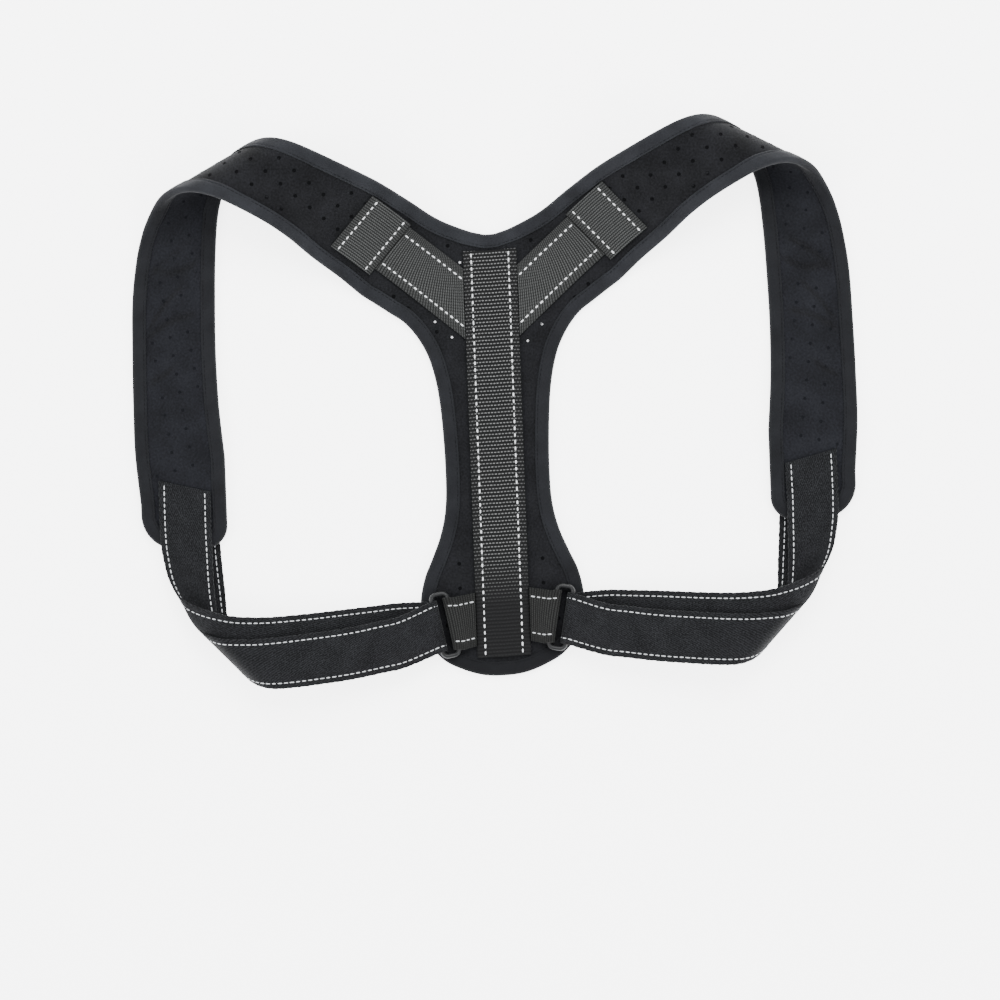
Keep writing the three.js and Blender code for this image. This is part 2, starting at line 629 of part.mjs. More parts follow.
addPiece("padded_panel", sheet(foamTriangles(), -HALF_FOAM, HALF_FOAM, onFoam), 0x1d1e20, 0.9);
addPiece("edge_binding", edgeBinding(), 0x3a3c41, 0.8);
addPiece("spine_webbing", spineWebbing(), 0x2b2b2b, 0.8);
for (const [name, side] of [["left", -1], ["right", 1]]) {
  addPiece(`diagonal_webbing_${name}`, diagonalWebbing(side), 0x47493f, 0.8);
  addPiece(`cross_patch_${name}`, crossPatch(side), 0x47493f, 0.8);
  addPiece(`ring_tab_${name}`, ringTab(side), 0x3d3f38, 0.8);
  addPiece(`ring_${name}`, ring(side), 0x2c2d2f, 0.4);
  addPiece(`adjust_strap_${name}`, adjustStrap(side), 0x202123, 0.85);
}

// The middle of the object's footprint becomes the origin
const box = new THREE.Box3().setFromObject(group);
group.position.set(-(box.min.x + box.max.x) / 2, -(box.min.y + box.max.y) / 2, -box.min.z);
group.updateMatrixWorld(true);

export default group;
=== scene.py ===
import math

import bpy
import numpy as np
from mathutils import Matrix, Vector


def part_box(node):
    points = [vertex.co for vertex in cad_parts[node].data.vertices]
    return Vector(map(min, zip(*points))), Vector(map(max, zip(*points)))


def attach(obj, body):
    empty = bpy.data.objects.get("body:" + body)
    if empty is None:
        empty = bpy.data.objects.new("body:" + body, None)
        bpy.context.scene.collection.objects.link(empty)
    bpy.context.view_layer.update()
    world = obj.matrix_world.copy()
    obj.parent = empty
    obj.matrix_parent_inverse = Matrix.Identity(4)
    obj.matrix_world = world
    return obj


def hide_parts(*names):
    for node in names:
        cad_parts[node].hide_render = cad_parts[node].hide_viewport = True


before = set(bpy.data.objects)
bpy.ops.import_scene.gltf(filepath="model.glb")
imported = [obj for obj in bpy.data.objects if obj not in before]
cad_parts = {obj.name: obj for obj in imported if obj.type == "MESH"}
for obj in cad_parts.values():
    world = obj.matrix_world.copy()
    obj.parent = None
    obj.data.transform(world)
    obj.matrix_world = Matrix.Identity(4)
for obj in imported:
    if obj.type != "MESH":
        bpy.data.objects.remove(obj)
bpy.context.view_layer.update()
MM = 0.001

# Camera, light and floor
# The brace lies on a pale studio floor and is seen from straight above, turned a little on the page.
# Three large soft boxes light it evenly, the strongest from above the neckline.
CAMERA_HEIGHT = 2.0
CAMERA_PLACE = (0.97 * MM, -70.2 * MM)
CAMERA_TURN = -0.0367
HALF_VIEW = 0.36                  # half of what the camera sees at floor level

camera_data = bpy.data.cameras.new("camera")
camera_data.angle = 2 * math.atan(HALF_VIEW / CAMERA_HEIGHT)
camera_data.clip_end = 20
camera = bpy.data.objects.new("camera", camera_data)
camera.location = (*CAMERA_PLACE, CAMERA_HEIGHT)
camera.rotation_euler = (0, 0, CAMERA_TURN)
bpy.context.scene.collection.objects.link(camera)
bpy.context.scene.camera = camera


def soft_box(name, place, size, power):
    """Square area light of a size, turned so that it shines at the middle of the brace."""
    data = bpy.data.lights.new(name, "AREA")
    data.size = size
    data.energy = power
    lamp = bpy.data.objects.new(name, data)
    lamp.location = place
    away = np.array(place) / np.linalg.norm(place)
    lamp.rotation_euler = (math.acos(away[2]), 0, math.atan2(away[1], away[0]) + math.pi / 2)
    bpy.context.scene.collection.objects.link(lamp)


soft_box("top_light", (0.3, 1.5, 2.2), 1.6, 95)
soft_box("left_light", (-1.9, -0.3, 1.6), 1.4, 48)
soft_box("right_light", (1.8, -0.9, 1.7), 1.4, 44)

studio = bpy.data.worlds.new("studio")
studio.use_nodes = True
sky = studio.node_tree.nodes["Background"]
sky.inputs["Color"].default_value = (0.95, 0.97, 1.0, 1)
sky.inputs["Strength"].default_value = 1.25
bpy.context.scene.world = studio

FLOOR_HALF = 4.0
FLOOR_LOOK = {
    "Base Color": (0.95, 0.95, 0.95, 1), "Roughness": 0.9,
    "Emission Color": (1, 1, 1, 1), "Emission Strength": 4,
}
floor_mesh = bpy.data.meshes.new("floor")
floor_corners = [(FLOOR_HALF * x, FLOOR_HALF * y, 0) for x, y in ((-1, -1), (1, -1), (1, 1), (-1, 1))]
floor_mesh.from_pydata(floor_corners, [], [(0, 1, 2, 3)])
floor = bpy.data.objects.new("floor", floor_mesh)
bpy.context.scene.collection.objects.link(floor)
floor_finish = bpy.data.materials.new("pale_floor")
floor_finish.use_nodes = True
for socket_name, value in FLOOR_LOOK.items():
    floor_finish.node_tree.nodes["Principled BSDF"].inputs[socket_name].default_value = value
floor_mesh.materials.append(floor_finish)

# Foam panel
# The back panel and both shoulder straps are cut from one sheet of laminate: knitted cloth on both
# sides of a spongy core. It lies flat, and each strap rolls over at the shoulder and comes back down.
FOAM = 3 * MM
TAPE = 1 * MM
TAPE_REACH = 8.9 * MM
CLEARANCE = 0.3 * MM
PANEL_HEIGHT = 314.5 * MM
PANEL_HALF_WIDTH = 58 * MM
STRAP_WIDTH = 58.4 * MM
STRAP_LENGTH = 352 * MM
END_DROP = 31.5 * MM
END_OUTER_RADIUS = 24 * MM
END_INNER_RADIUS = 15 * MM
FOLD_ANGLE = math.radians(28.4)   # turn of the fold line below the X axis
RISE_START = 278 * MM
RISE_RUN = 114.5 * MM
ROLL_RADIUS = 22.5 * MM
CLIMB_PLACE = 92 * MM             # how far before the roll the front stretch climbs on the adjusting strap
CLIMB_STEP = 38 * MM
RIGHT_LIFT = 5.3 * MM             # how much higher the right half is laid than the left one
LIFT_RUN = 130 * MM
ADJUST = 1.8 * MM
PANEL_OUTLINE = {
    "out": (0.00, 0.14, 0.30, 0.50, 0.72, 0.89, 0.98, 0.99, 0.93, 0.83, 0.72, 0.65,
            0.625, 0.635, 0.68, 0.77, 0.90, 1.07, 1.26),
    "up": (-0.003, -0.003, 0.001, 0.013, 0.034, 0.070, 0.118, 0.168, 0.220, 0.263, 0.314, 0.368,
           0.43, 0.54, 0.645, 0.720, 0.770, 0.809, 0.834),
}
STRAP_PATTERN = {
    "across": (0.000, 0.024, 0.077, 0.147, 0.214, 0.273, 0.346, 0.383, 0.418,
               0.453, 0.489, 0.523, 0.560, 0.630, 0.722, 0.812, 0.903, 1.000),
    "middle": (-0.284, -0.265, -0.235, -0.204, -0.176, -0.144, -0.096, -0.066, -0.033,
               0.005, 0.043, 0.085, 0.122, 0.172, 0.227, 0.278, 0.325, 0.368),
    "width": (1.570, 1.490, 1.360, 1.320, 1.250, 1.190, 1.165, 1.180, 1.200,
              1.200, 1.180, 1.140, 1.120, 1.140, 1.135, 1.135, 1.150, 1.150),
}
HALF_FOAM = FOAM / 2
TAPE_OUTSIDE = HALF_FOAM + CLEARANCE + TAPE
RISE_HEIGHT = 2 * ROLL_RADIUS
ROLL_PLACE = RISE_START + RISE_RUN
SEAT = 0.4 * MM
WEBBING = 1.8 * MM
WEBBING_LOW = HALF_FOAM + SEAT
WEBBING_HIGH = WEBBING_LOW + WEBBING
SPINE_INSET = 11.3 * MM
SPINE_WIDTH = 38.6 * MM
FOLD_ALONG = np.array((math.cos(FOLD_ANGLE), -math.sin(FOLD_ANGLE)))
FOLD_ACROSS = np.array((math.sin(FOLD_ANGLE), math.cos(FOLD_ANGLE)))
spine_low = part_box("spine_webbing")[0]
LAID_Y = spine_low.y - SPINE_INSET
LAID_Z = spine_low.z - TAPE_OUTSIDE - WEBBING_LOW


def smooth_step(share):
    """Rise from 0 to 1 that starts and ends level: three times the square less twice the cube."""
    s = np.clip(share, 0, 1)
    return s * s * (3 - 2 * s)


def run_of(line):
    """Distances along a line of points, from 0 at the first one."""
    return np.concatenate([[0], np.cumsum(np.linalg.norm(np.diff(line, axis=0), axis=1))])


def unit(vectors):
    """The vectors, each brought to a length of 1."""
    return vectors / np.linalg.norm(vectors, axis=-1, keepdims=True)


def fold_places(pattern):
    """Side of each pattern point, -1 or 1, and its distances across and along the fold line."""
    side = np.where(pattern[..., 0] < 0, -1.0, 1.0)
    folded = np.stack([np.abs(pattern[..., 0]), pattern[..., 1]], -1)
    return side, folded @ FOLD_ACROSS, folded @ FOLD_ALONG


def table_curve(keys, values, place):
    """Smooth curve through a table: a cubic between two rows, with each row's slope from its neighbours."""
    keys = np.asarray(keys, float)
    values = np.asarray(values, float)
    last = len(keys) - 1
    before = np.maximum(np.arange(last + 1) - 1, 0)
    after = np.minimum(np.arange(last + 1) + 1, last)
    spread = (keys[after] - keys[before]).reshape([-1] + [1] * (values.ndim - 1))
    slope = (values[after] - values[before]) / spread
    place = np.asarray(place, float)
    i = np.clip(np.searchsorted(keys, place, side="right") - 1, 0, last - 1)
    step = keys[i + 1] - keys[i]
    t = (place - keys[i]) / step
    if values.ndim > 1:
        step, t = step[:, None], t[:, None]
    return (
        (2 * t**3 - 3 * t**2 + 1) * values[i] + (t**3 - 2 * t**2 + t) * slope[i] * step
        + (3 * t**2 - 2 * t**3) * values[i + 1] + (t**3 - t**2) * slope[i + 1] * step
    )


def side_view():
    """Side view of a strap across the fold, as length, place and height: a rise on a smooth step, a half
    circle over the shoulder, and a run back along the floor that climbs on the adjusting strap's end."""
    share = np.linspace(0, 1, 241)
    rise = np.stack([RISE_START + RISE_RUN * share, TAPE_OUTSIDE + RISE_HEIGHT * smooth_step(share)], 1)
    angle = math.pi * share[1:]
    roll = np.stack([
        ROLL_PLACE + ROLL_RADIUS * np.sin(angle), TAPE_OUTSIDE + ROLL_RADIUS * (1 + np.cos(angle)),
    ], 1)
    back_place = ROLL_PLACE - (STRAP_LENGTH - ROLL_PLACE + RISE_START + 2 * END_DROP) * share[1:]
    climb = (ADJUST + CLEARANCE) * smooth_step((ROLL_PLACE - CLIMB_PLACE - back_place) / CLIMB_STEP)
    back = np.stack([back_place, TAPE_OUTSIDE + climb], 1)
    line = np.concatenate([rise, roll, back])
    length = run_of(line)
    return length, line, length[len(rise) - 1], length[len(rise) + len(roll) - 1]


SIDE_LENGTH, SIDE_LINE, RISE_LENGTH, ROLL_END = side_view()
SIDE_WAY = np.gradient(SIDE_LINE, SIDE_LENGTH, axis=0)


def side_lift(x):
    """Higher laying of the right half: a quarter sine wave out from the spine."""
    return np.where(x > 0, RIGHT_LIFT * np.sin(math.pi / 2 * np.clip(x / LIFT_RUN, 0, 1)), 0)


def on_foam(pattern, high):
    """Place of a pattern point at a height above the middle of the foam. The pattern is flat up to the
    foot of the rise, and from there its distance across the fold is laid along the side view."""
    side, across, along = fold_places(pattern)
    length = across - RISE_START
    way_x = np.interp(length, SIDE_LENGTH, SIDE_WAY[:, 0])
    way_z = np.interp(length, SIDE_LENGTH, SIDE_WAY[:, 1])
    size = np.hypot(way_x, way_z)
    reach = np.interp(length, SIDE_LENGTH, SIDE_LINE[:, 0]) - way_z / size * high
    reach = np.where(length < 0, across, reach)
    height = np.interp(length, SIDE_LENGTH, SIDE_LINE[:, 1]) + way_x / size * high
    height = np.where(length < 0, TAPE_OUTSIDE + high, height)
    placed_x = side * (FOLD_ALONG[0] * along + FOLD_ACROSS[0] * reach)
    placed_y = FOLD_ALONG[1] * along + FOLD_ACROSS[1] * reach
    return np.stack([placed_x, placed_y + side_lift(placed_x) + LAID_Y, height + LAID_Z], -1)


def strap_shape(length):
    """Middle line of a strap, as a distance along the fold, and its half width, at lengths from the foot
    of its rise."""
    share = np.clip(np.asarray(length) / STRAP_LENGTH, 0, 1)
    middle = STRAP_LENGTH * table_curve(STRAP_PATTERN["across"], STRAP_PATTERN["middle"], share)
    return middle, STRAP_WIDTH / 2 * table_curve(STRAP_PATTERN["across"], STRAP_PATTERN["width"], share)


def strap_edges(length):
    """Neck edge and arm edge of a strap in the pattern, at lengths from the foot of its rise."""
    middle, half = strap_shape(length)
    across = (RISE_START + np.asarray(length))[:, None] * FOLD_ACROSS
    return tuple(across + (middle + sign * half)[:, None] * FOLD_ALONG for sign in (-1, 1))


def panel_edge(share):
    """Right edge of the panel, from the lower tip to where the strap's arm edge starts."""
    side = np.stack([
        PANEL_HALF_WIDTH * np.array(PANEL_OUTLINE["out"]), PANEL_HEIGHT * np.array(PANEL_OUTLINE["up"]),
    ], 1)
    arm = strap_edges(np.array([0, 8 * MM]))[1]
    line = np.concatenate([side, arm])
    knots = run_of(line)
    return table_curve(knots, line, knots[-2] * np.asarray(share))


END_NECK, END_ARM = (edge[0] for edge in strap_edges(np.array([STRAP_LENGTH])))
END_DOWN = np.array((math.sin(2 * FOLD_ANGLE), math.cos(2 * FOLD_ANGLE)))
END_WIDE = np.array((END_DOWN[1], -END_DOWN[0]))
END_WIDTH = float((END_ARM - END_NECK) @ END_WIDE)


def end_edges(share):
    """Neck edge and arm edge of a strap's end, which both round in to a straight foot."""
    def pull(drop, radius):
        """How far a round corner of a radius has come in, at distances down the end."""
        turned = np.clip(drop - END_DROP + radius, 0, None)
        return (radius - np.sqrt(radius**2 - turned**2))[:, None]

    drop = END_DROP * np.asarray(share)
    arm = END_ARM + drop[:, None] * END_DOWN - pull(drop, END_OUTER_RADIUS) * END_WIDE
    neck_drop = (END_NECK - END_ARM) @ END_DOWN
    fall = neck_drop + (END_DROP - neck_drop) * np.asarray(share)
    neck = END_ARM + fall[:, None] * END_DOWN + (pull(fall, END_INNER_RADIUS) - END_WIDTH) * END_WIDE
    return neck, arm


def grid_quads(rows, columns, ring=False, tube=False):
    """Quads of a grid of rows of points, which may close into a ring of rows and a tube of columns."""
    i = np.arange(rows if ring else rows - 1)[:, None]
    j = np.arange(columns if tube else columns - 1)
    k = (i + 1) % rows
    n = (j + 1) % columns
    return np.stack([i * columns + j, i * columns + n, k * columns + n, k * columns + j], -1).reshape(-1, 4)


def grid_places(across, along):
    """UV places of a grid of points, from distances across and along the cloth."""
    return np.stack(np.broadcast_arrays(across, along), -1).reshape(-1, 2)


def outward(points, faces):
    """The faces, turned over if the closed surface that they make has its inside out."""
    a, b, c = (points[faces[:, i]] for i in range(3))
    volume = np.einsum("ij,ij->i", a, np.cross(b, c)).sum()
    if faces.shape[1] == 4:
        d = points[faces[:, 3]]
        volume += np.einsum("ij,ij->i", a, np.cross(c, d)).sum()
    return faces if volume > 0 else faces[:, ::-1]


def new_piece(name, points, faces, finish):
    """Smooth-shaded object from an array of points and a list of faces."""
    mesh = bpy.data.meshes.new(name)
    mesh.from_pydata(points, [], faces)
    mesh.polygons.foreach_set("use_smooth", np.ones(len(mesh.polygons), bool))
    mesh.materials.append(finish)
    piece = bpy.data.objects.new(name, mesh)
    bpy.context.scene.collection.objects.link(piece)
    return piece


def mapped_piece(name, points, faces, places, finish):
    """New piece with a UV place in metres for each point."""
    piece = new_piece(name, points, faces, finish)
    corners = np.empty(len(piece.data.loops), int)
    piece.data.loops.foreach_get("vertex_index", corners)
    layer = piece.data.uv_layers.new(name="UVMap")
    layer.uv.foreach_set("vector", places[corners].astype(np.float32).ravel())
    return piece


def mark(piece, name, values):
    """Attribute of a piece, with a value for each of its points."""
    attribute = piece.data.attributes.new(name, "FLOAT", "POINT")
    attribute.data.foreach_set("value", values.astype(np.float32))


def set_inputs(node, inputs):
    """Inputs of a node, by name or number, set to plain values or linked to outputs of other nodes."""
    for key, value in inputs.items():
        socket = value.socket if isinstance(value, Value) else value
        if isinstance(socket, bpy.types.NodeSocket):
            node.id_data.links.new(socket, node.inputs[key])
        else:
            node.inputs[key].default_value = socket


def start_finish(name, color, roughness, sheen=0.0, specular=0.5):
    """New finish with even values only. Returns the material and its shader."""
    material = bpy.data.materials.new(name)
    material.use_nodes = True
    shader = material.node_tree.nodes["Principled BSDF"]
    set_inputs(shader, {
        "Base Color": (*color, 1), "Roughness": roughness, "Specular IOR Level": specular,
        "Sheen Weight": sheen, "Sheen Roughness": 0.5,
    })
    return material, shader


def new_node(beside, kind):
    """Node of a kind in the same material as another node or output."""
    return beside.id_data.nodes.new("ShaderNode" + kind)


class Value:
    """A number in a material, as an output of one of its nodes. Arithmetic on it adds Math nodes."""

    def __init__(self, socket):
        self.socket = socket

    def math(self, operation, other=0.0, clamp=False):
        """Result of a Math node on this value and another value or plain number."""
        node = new_node(self.socket, "Math")
        node.operation = operation
        node.use_clamp = clamp
        set_inputs(node, {0: self, 1: other})
        return Value(node.outputs[0])

    def __add__(self, other):
        return self.math("ADD", other)

    def __sub__(self, other):
        return self.math("SUBTRACT", other)

    def __mul__(self, other):
        return self.math("MULTIPLY", other)

    def __truediv__(self, other):
        return self.math("DIVIDE", other)

    def size(self):
        """This value without its sign."""
        return self.math("ABSOLUTE")

    def clamped(self):
        """This value, kept between 0 and 1."""
        return self.math("ADD", clamp=True)


def attribute_value(shader, name):
    """Value of a piece's attribute."""
    node = new_node(shader, "Attribute")
    node.attribute_name = name
    return Value(node.outputs["Fac"])


def object_places(shader, kind="Object"):
    """Vector of the place on the piece, in metres."""
    return new_node(shader, "TexCoord").outputs[kind]


def cloth_places(shader):
    """Values of the place across and the place along the cloth, in metres, and both as a vector."""
    places = object_places(shader, "UV")
    split = new_node(shader, "SeparateXYZ")
    set_inputs(split, {0: places})
    return Value(split.outputs[0]), Value(split.outputs[1]), places


def cloud(places, scale, detail=3.0):
    """Soft uneven value from 0 to 1, with a number of patches to the metre."""
    node = new_node(places, "TexNoise")
    set_inputs(node, {"Scale": scale, "Detail": detail, "Vector": places})
    return Value(node.outputs[0])


def blend(share, first, second):
    """Colour that a value takes from a first one to a second one. Each is three numbers or an output."""
    node = new_node(share.socket, "Mix")
    node.data_type = "RGBA"
    first, second = ((*color, 1) if isinstance(color, tuple) else color for color in (first, second))
    set_inputs(node, {"Factor": share, 6: first, 7: second})
    return node.outputs[2]


def give_looks(shader, color, height, depth, strength):
    """Colour, and relief on the normal from a value that runs from 0 to 1."""
    node = new_node(shader, "Bump")
    set_inputs(node, {"Distance": depth, "Strength": strength, "Height": height})
    set_inputs(shader, {"Base Color": color, "Normal": node.outputs[0]})


KNIT_COURSE = 1.15 * MM
KNIT_WALE = 0.95 * MM
FOAM_OUTER = (0.0027, 0.0028, 0.0032)
FOAM_OUTER_WORN = (0.0112, 0.0115, 0.0134)
FOAM_LINING = (0.0041, 0.0043, 0.0054)
FOAM_LINING_WORN = (0.0124, 0.0131, 0.0164)


def knit_finish():
    """Fine knit: rows of small loops, as the product of two sine waves, over soft uneven shading. The
    lining is a little lighter and bluer than the outer face, told by the attribute lining; in the narrow
    folds of the front stretch that attribute drops, so the folds take the darker outer colour as painted
    shade."""
    material, shader = start_finish("knitted_laminate", FOAM_OUTER, 0.92, sheen=0.03, specular=0.1)
    u, v, places = cloth_places(shader)
    course = (v * (2 * math.pi / KNIT_COURSE)).math("SINE")
    wale = (u * (2 * math.pi / KNIT_WALE)).math("SINE")
    loops = course * wale * 0.5 + 0.5
    uneven = cloud(places, 45, 5.0)
    speck = cloud(places, 700)
    shade = (loops * 0.25 + uneven * 1.2 + speck * 1.6 - 1.2).clamped()
    outer = blend(shade, FOAM_OUTER, FOAM_OUTER_WORN)
    inner = blend(shade, FOAM_LINING, FOAM_LINING_WORN)
    # Painted shade: the lining's narrow folds are darkened by taking back the outer face's darker colour.
    color = blend(attribute_value(shader, "lining"), outer, inner)
    give_looks(shader, color, loops * 0.4 + uneven * 0.9, 0.35 * MM, 0.6)
    return material


PANEL_ROWS = 170
LOWEST_ROW = 0.06                 # share of the panel's edge at its first row, so that the tip is one row
TILT_START = 0.25                 # share of its height at which the panel's rows start to slant to the fold
INSET_SHARE = 0.88                # distance from a strap's edge, as a share of the distance along the fold
COLUMNS = 34                      # from edge to edge of a strap, and on each half of the panel
STRAP_ROWS = 210
END_ROWS = 18
PUFF = 0.55 * MM                  # how far the foam swells between its seams
CREASE = 0.5 * MM                 # depth of the soft creases of the front stretch
FOLD_DEPTH = 1 * MM               # and of its narrow folds
LEFT_RIGHT_SHIFT = 1.7            # in the waves' angles, so that the two sides crease differently
FOLD_WIDTH = 2.2 * MM
FRONT_FOLDS = {                   # narrow folds there: place, slant, bend, and where across they start
    "place": (207 * MM, 219 * MM, 233 * MM, 249 * MM, 278 * MM),
    "lean": (0.12, -0.32, 0.36, -0.10, 0.24),
    "bend": (0.5, -0.6, 0.7, 0.4, -0.5),
    "start": (-20 * MM, -26 * MM, -12 * MM, -24 * MM, -6 * MM),
}


def panel_patches():
    """Pattern grids of the foam, each with the distance from its long edges: the panel from side to side,
    and for each half the strap and its end from the neck edge to the arm edge."""
    outer = panel_edge(np.linspace(LOWEST_ROW, 1, PANEL_ROWS))
    inner_x = strap_edges(np.array([0.0]))[0][0, 0]
    tilt = math.tan(FOLD_ANGLE) * smooth_step((outer[:, 1] / outer[-1, 1] - TILT_START) / (1 - TILT_START))
    inner = np.stack([np.full(PANEL_ROWS, inner_x), outer[:, 1] + (outer[:, 0] - inner_x) * tilt], 1)
    across = np.linspace(0, 1, COLUMNS)
    right = inner[:, None] + (outer - inner)[:, None] * across[None, :, None]
    strap = strap_edges(np.linspace(0, STRAP_LENGTH, STRAP_ROWS))
    right[-1] = strap[0][0] + (strap[1][0] - strap[0][0]) * across[:, None]
    left = right[:, ::-1] * (-1, 1)
    inset = (1 - across) * (outer - inner)[:, :1]
    patches = [(np.concatenate([left, right], 1), np.concatenate([inset[:, ::-1], inset], 1))]
    end = end_edges(np.linspace(0, 1, END_ROWS))
    for neck, arm in (strap, end):
        width = np.linalg.norm(arm - neck, axis=1)[:, None]
        grid = neck[:, None] + (arm - neck)[:, None] * across[None, :, None]
        inset = np.minimum(across, 1 - across) * width * INSET_SHARE
        patches.append((grid, inset))
        patches.append((grid * (-1, 1), inset))
    return patches


def creases(pattern):
    """Creases of the front stretch from 0 to 1: long waves at a slant, stronger in some places, and a few
    narrow folds, each a bell curve across a bent line."""
    side, across, along = fold_places(pattern)
    length = across - RISE_START
    hand = np.where(side < 0, 0.0, LEFT_RIGHT_SHIFT)
    wave = np.sin(length / (7.5 * MM) + 1.6 * np.sin(along / (17 * MM) + hand) + hand)
    wave += 0.6 * np.sin(length / (4.6 * MM) - along / (9.5 * MM) + 2.1 * hand)
    where = 0.5 + 0.5 * np.sin(length / (31 * MM) + along / (23 * MM) + 2.3 * hand)
    front = smooth_step((length - ROLL_END) / (30 * MM)) * smooth_step((STRAP_LENGTH - length) / (60 * MM))
    from_middle = along - strap_shape(length)[0]
    fold = 0
    for place, lean, bend, start in zip(*FRONT_FOLDS.values()):
        off = length - (place + 9 * MM * hand) - lean * from_middle - bend * from_middle**2 / STRAP_WIDTH
        fold = fold + np.exp(-(off / FOLD_WIDTH) ** 2) * smooth_step((from_middle - start) / (12 * MM))
    return wave * where * front, fold * front


def foam_panel():
    """Closed sheet from the pattern grids: equal points are welded, the two faces stand half the foam off
    its middle and swell between the seams, and every edge that has one face only gets a wall."""
    pattern = np.concatenate([grid.reshape(-1, 2) for grid, _ in panel_patches()])
    inset = np.concatenate([inset.ravel() for _, inset in panel_patches()])
    faces = []
    start = 0
    for grid, _ in panel_patches():
        faces.append(grid_quads(*grid.shape[:2]) + start)
        start += grid.shape[0] * grid.shape[1]
    faces = np.concatenate(faces)
    _, first, welded = np.unique(
        np.round(pattern / (0.01 * MM)).astype(int), axis=0, return_index=True, return_inverse=True,
    )
    welded = welded.ravel()
    pattern, inset, faces = pattern[first], inset[first], welded[faces]
    a, b, c = (pattern[faces[:, i]] for i in range(3))
    turn = (b - a)[:, 0] * (c - a)[:, 1] - (b - a)[:, 1] * (c - a)[:, 0]
    faces = np.where((turn < 0)[:, None], faces[:, ::-1], faces)
    edges = np.concatenate([faces[:, [i, (i + 1) % 4]] for i in range(4)])
    key = np.sort(edges, axis=1) @ (len(pattern), 1)
    _, index, count = np.unique(key, return_index=True, return_counts=True)
    rim = edges[index[count == 1]]
    away_from_spine = np.abs(pattern[:, 0]) - SPINE_WIDTH / 2
    across = fold_places(pattern)[1] - RISE_START
    clear = smooth_step((inset - TAPE_REACH) / (9 * MM))
    low_panel = smooth_step((away_from_spine - 1 * MM) / (7 * MM)) * smooth_step(-across / (60 * MM))
    strap = smooth_step((across - 45 * MM) / (18 * MM))
    swell = PUFF * clear * np.maximum(low_panel, strap)
    wave, fold = creases(pattern)
    inside = smooth_step((inset - 7 * MM) / (8 * MM))
    crease = (CREASE * wave + FOLD_DEPTH * fold) * inside
    top_high = HALF_FOAM + swell
    bottom_high = -HALF_FOAM - 0.6 * swell * smooth_step(across / RISE_RUN) + crease
    top = on_foam(pattern, top_high)
    bottom = on_foam(pattern, bottom_high)
    count = len(pattern)
    walls = np.stack([rim[:, 1], rim[:, 0], rim[:, 0] + count, rim[:, 1] + count], 1)
    points = np.concatenate([top, bottom])
    all_faces = np.concatenate([faces, faces[:, ::-1] + count, walls])
    faces = outward(points, all_faces).tolist()
    piece = mapped_piece("padded_foam", points, faces, np.concatenate([pattern, pattern]), knit_finish())
    # Attribute lining: 0 on the outer face and 1 on the lining, lowered in the narrow folds as painted
    # shade.
    mark(piece, "lining", np.concatenate([np.zeros(count), 1 - np.clip(fold * inside, 0, 1)]))
    return piece, pattern, {1: top_high, -1: bottom_high}


panel, foam_pattern, foam_high = foam_panel()
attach(panel, "root")
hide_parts("padded_panel")

# Vent holes
# Round holes are punched through the laminate in staggered rows before it is cut out. Each is drawn as
# a low disc with a soft rim where the knit is pressed in, its dark colour painted shade for the well of
# the hole. The few holes that show the floor through are pale discs of painted light.
VENT_SPACING = 20 * MM
VENT_ROW = 8.8 * MM
VENT_RADIUS = 1.2 * MM
VENT_SIDES = 12
# The dark colours of the closed vent discs are painted shade for the wells of the holes, lighter in random
# rubbed patches.
VENT_WELL_SHADE = (0.0010, 0.0010, 0.0012)
VENT_WELL_SHADE_RUBBED = (0.0030, 0.0031, 0.0036)
# Painted light: pale discs laid on the outer face stand for the floor seen through the open holes.
OPEN_SIZE = 0.62
OPEN_PAINTED_LIGHT = (0.75, 0.75, 0.75)
OPEN_PAINTED_SHADE = (0.40, 0.40, 0.42)
LINING_WELL_SHADE = (0.0030, 0.0032, 0.0040)
LINING_WELL_SHADE_RUBBED = (0.0070, 0.0074, 0.0092)


def vent_places():
    """Staggered grid over the pattern, kept where the knit shows on either half."""
    columns = np.arange(-30, 31)
    rows = np.arange(0, 80)
    x = columns[None, :] * VENT_SPACING + (rows[:, None] % 2) * VENT_SPACING / 2
    y = np.repeat(rows[:, None] * VENT_ROW, len(columns), 1)
    grid = np.stack([x, y], -1).reshape(-1, 2)
    out = np.abs(grid[:, 0])
    _, across, along = fold_places(grid)
    length = across - RISE_START
    middle, half = strap_shape(length)
    margin = (TAPE_REACH + 3.5 * MM) / math.cos(FOLD_ANGLE)
    on_strap = (length > 0) & (length < STRAP_LENGTH - 4 * MM) & (np.abs(along - middle) < half - margin)
    line = panel_edge(np.linspace(0, 1, 400))
    edge = np.interp(grid[:, 1], line[:, 1], line[:, 0])
    low = (length <= 0) & (grid[:, 1] > 16 * MM) & (out < edge - margin) & (out > SPINE_WIDTH / 2 + 2.5 * MM)
    return grid[on_strap | low]


def joined_copies(name, template, faces, origins, firsts, seconds, thirds, finish):
    """One mesh of many copies of a small shape, each with its own origin and three directions, and
    pressed flat where it would go into the floor."""
    points = origins[:, None] + template @ np.stack([firsts, seconds, thirds], 1)
    points[..., 2] = np.maximum(points[..., 2], LAID_Z)
    steps = (np.arange(len(origins)) * len(template))[:, None]
    mesh_faces = []
    for face in faces:
        mesh_faces.extend((np.array(face)[None] + steps).tolist())
    return new_piece(name, points.reshape(-1, 3), mesh_faces, finish)


def pile_faces(rings, sides):
    """Faces of a pile of rings of points: quads from ring to ring, and a cap on the last and the first."""
    cap = np.arange(sides)
    quads = grid_quads(rings, sides, tube=True)
    return [*quads.tolist(), (cap + (rings - 1) * sides).tolist(), cap[::-1].tolist()]


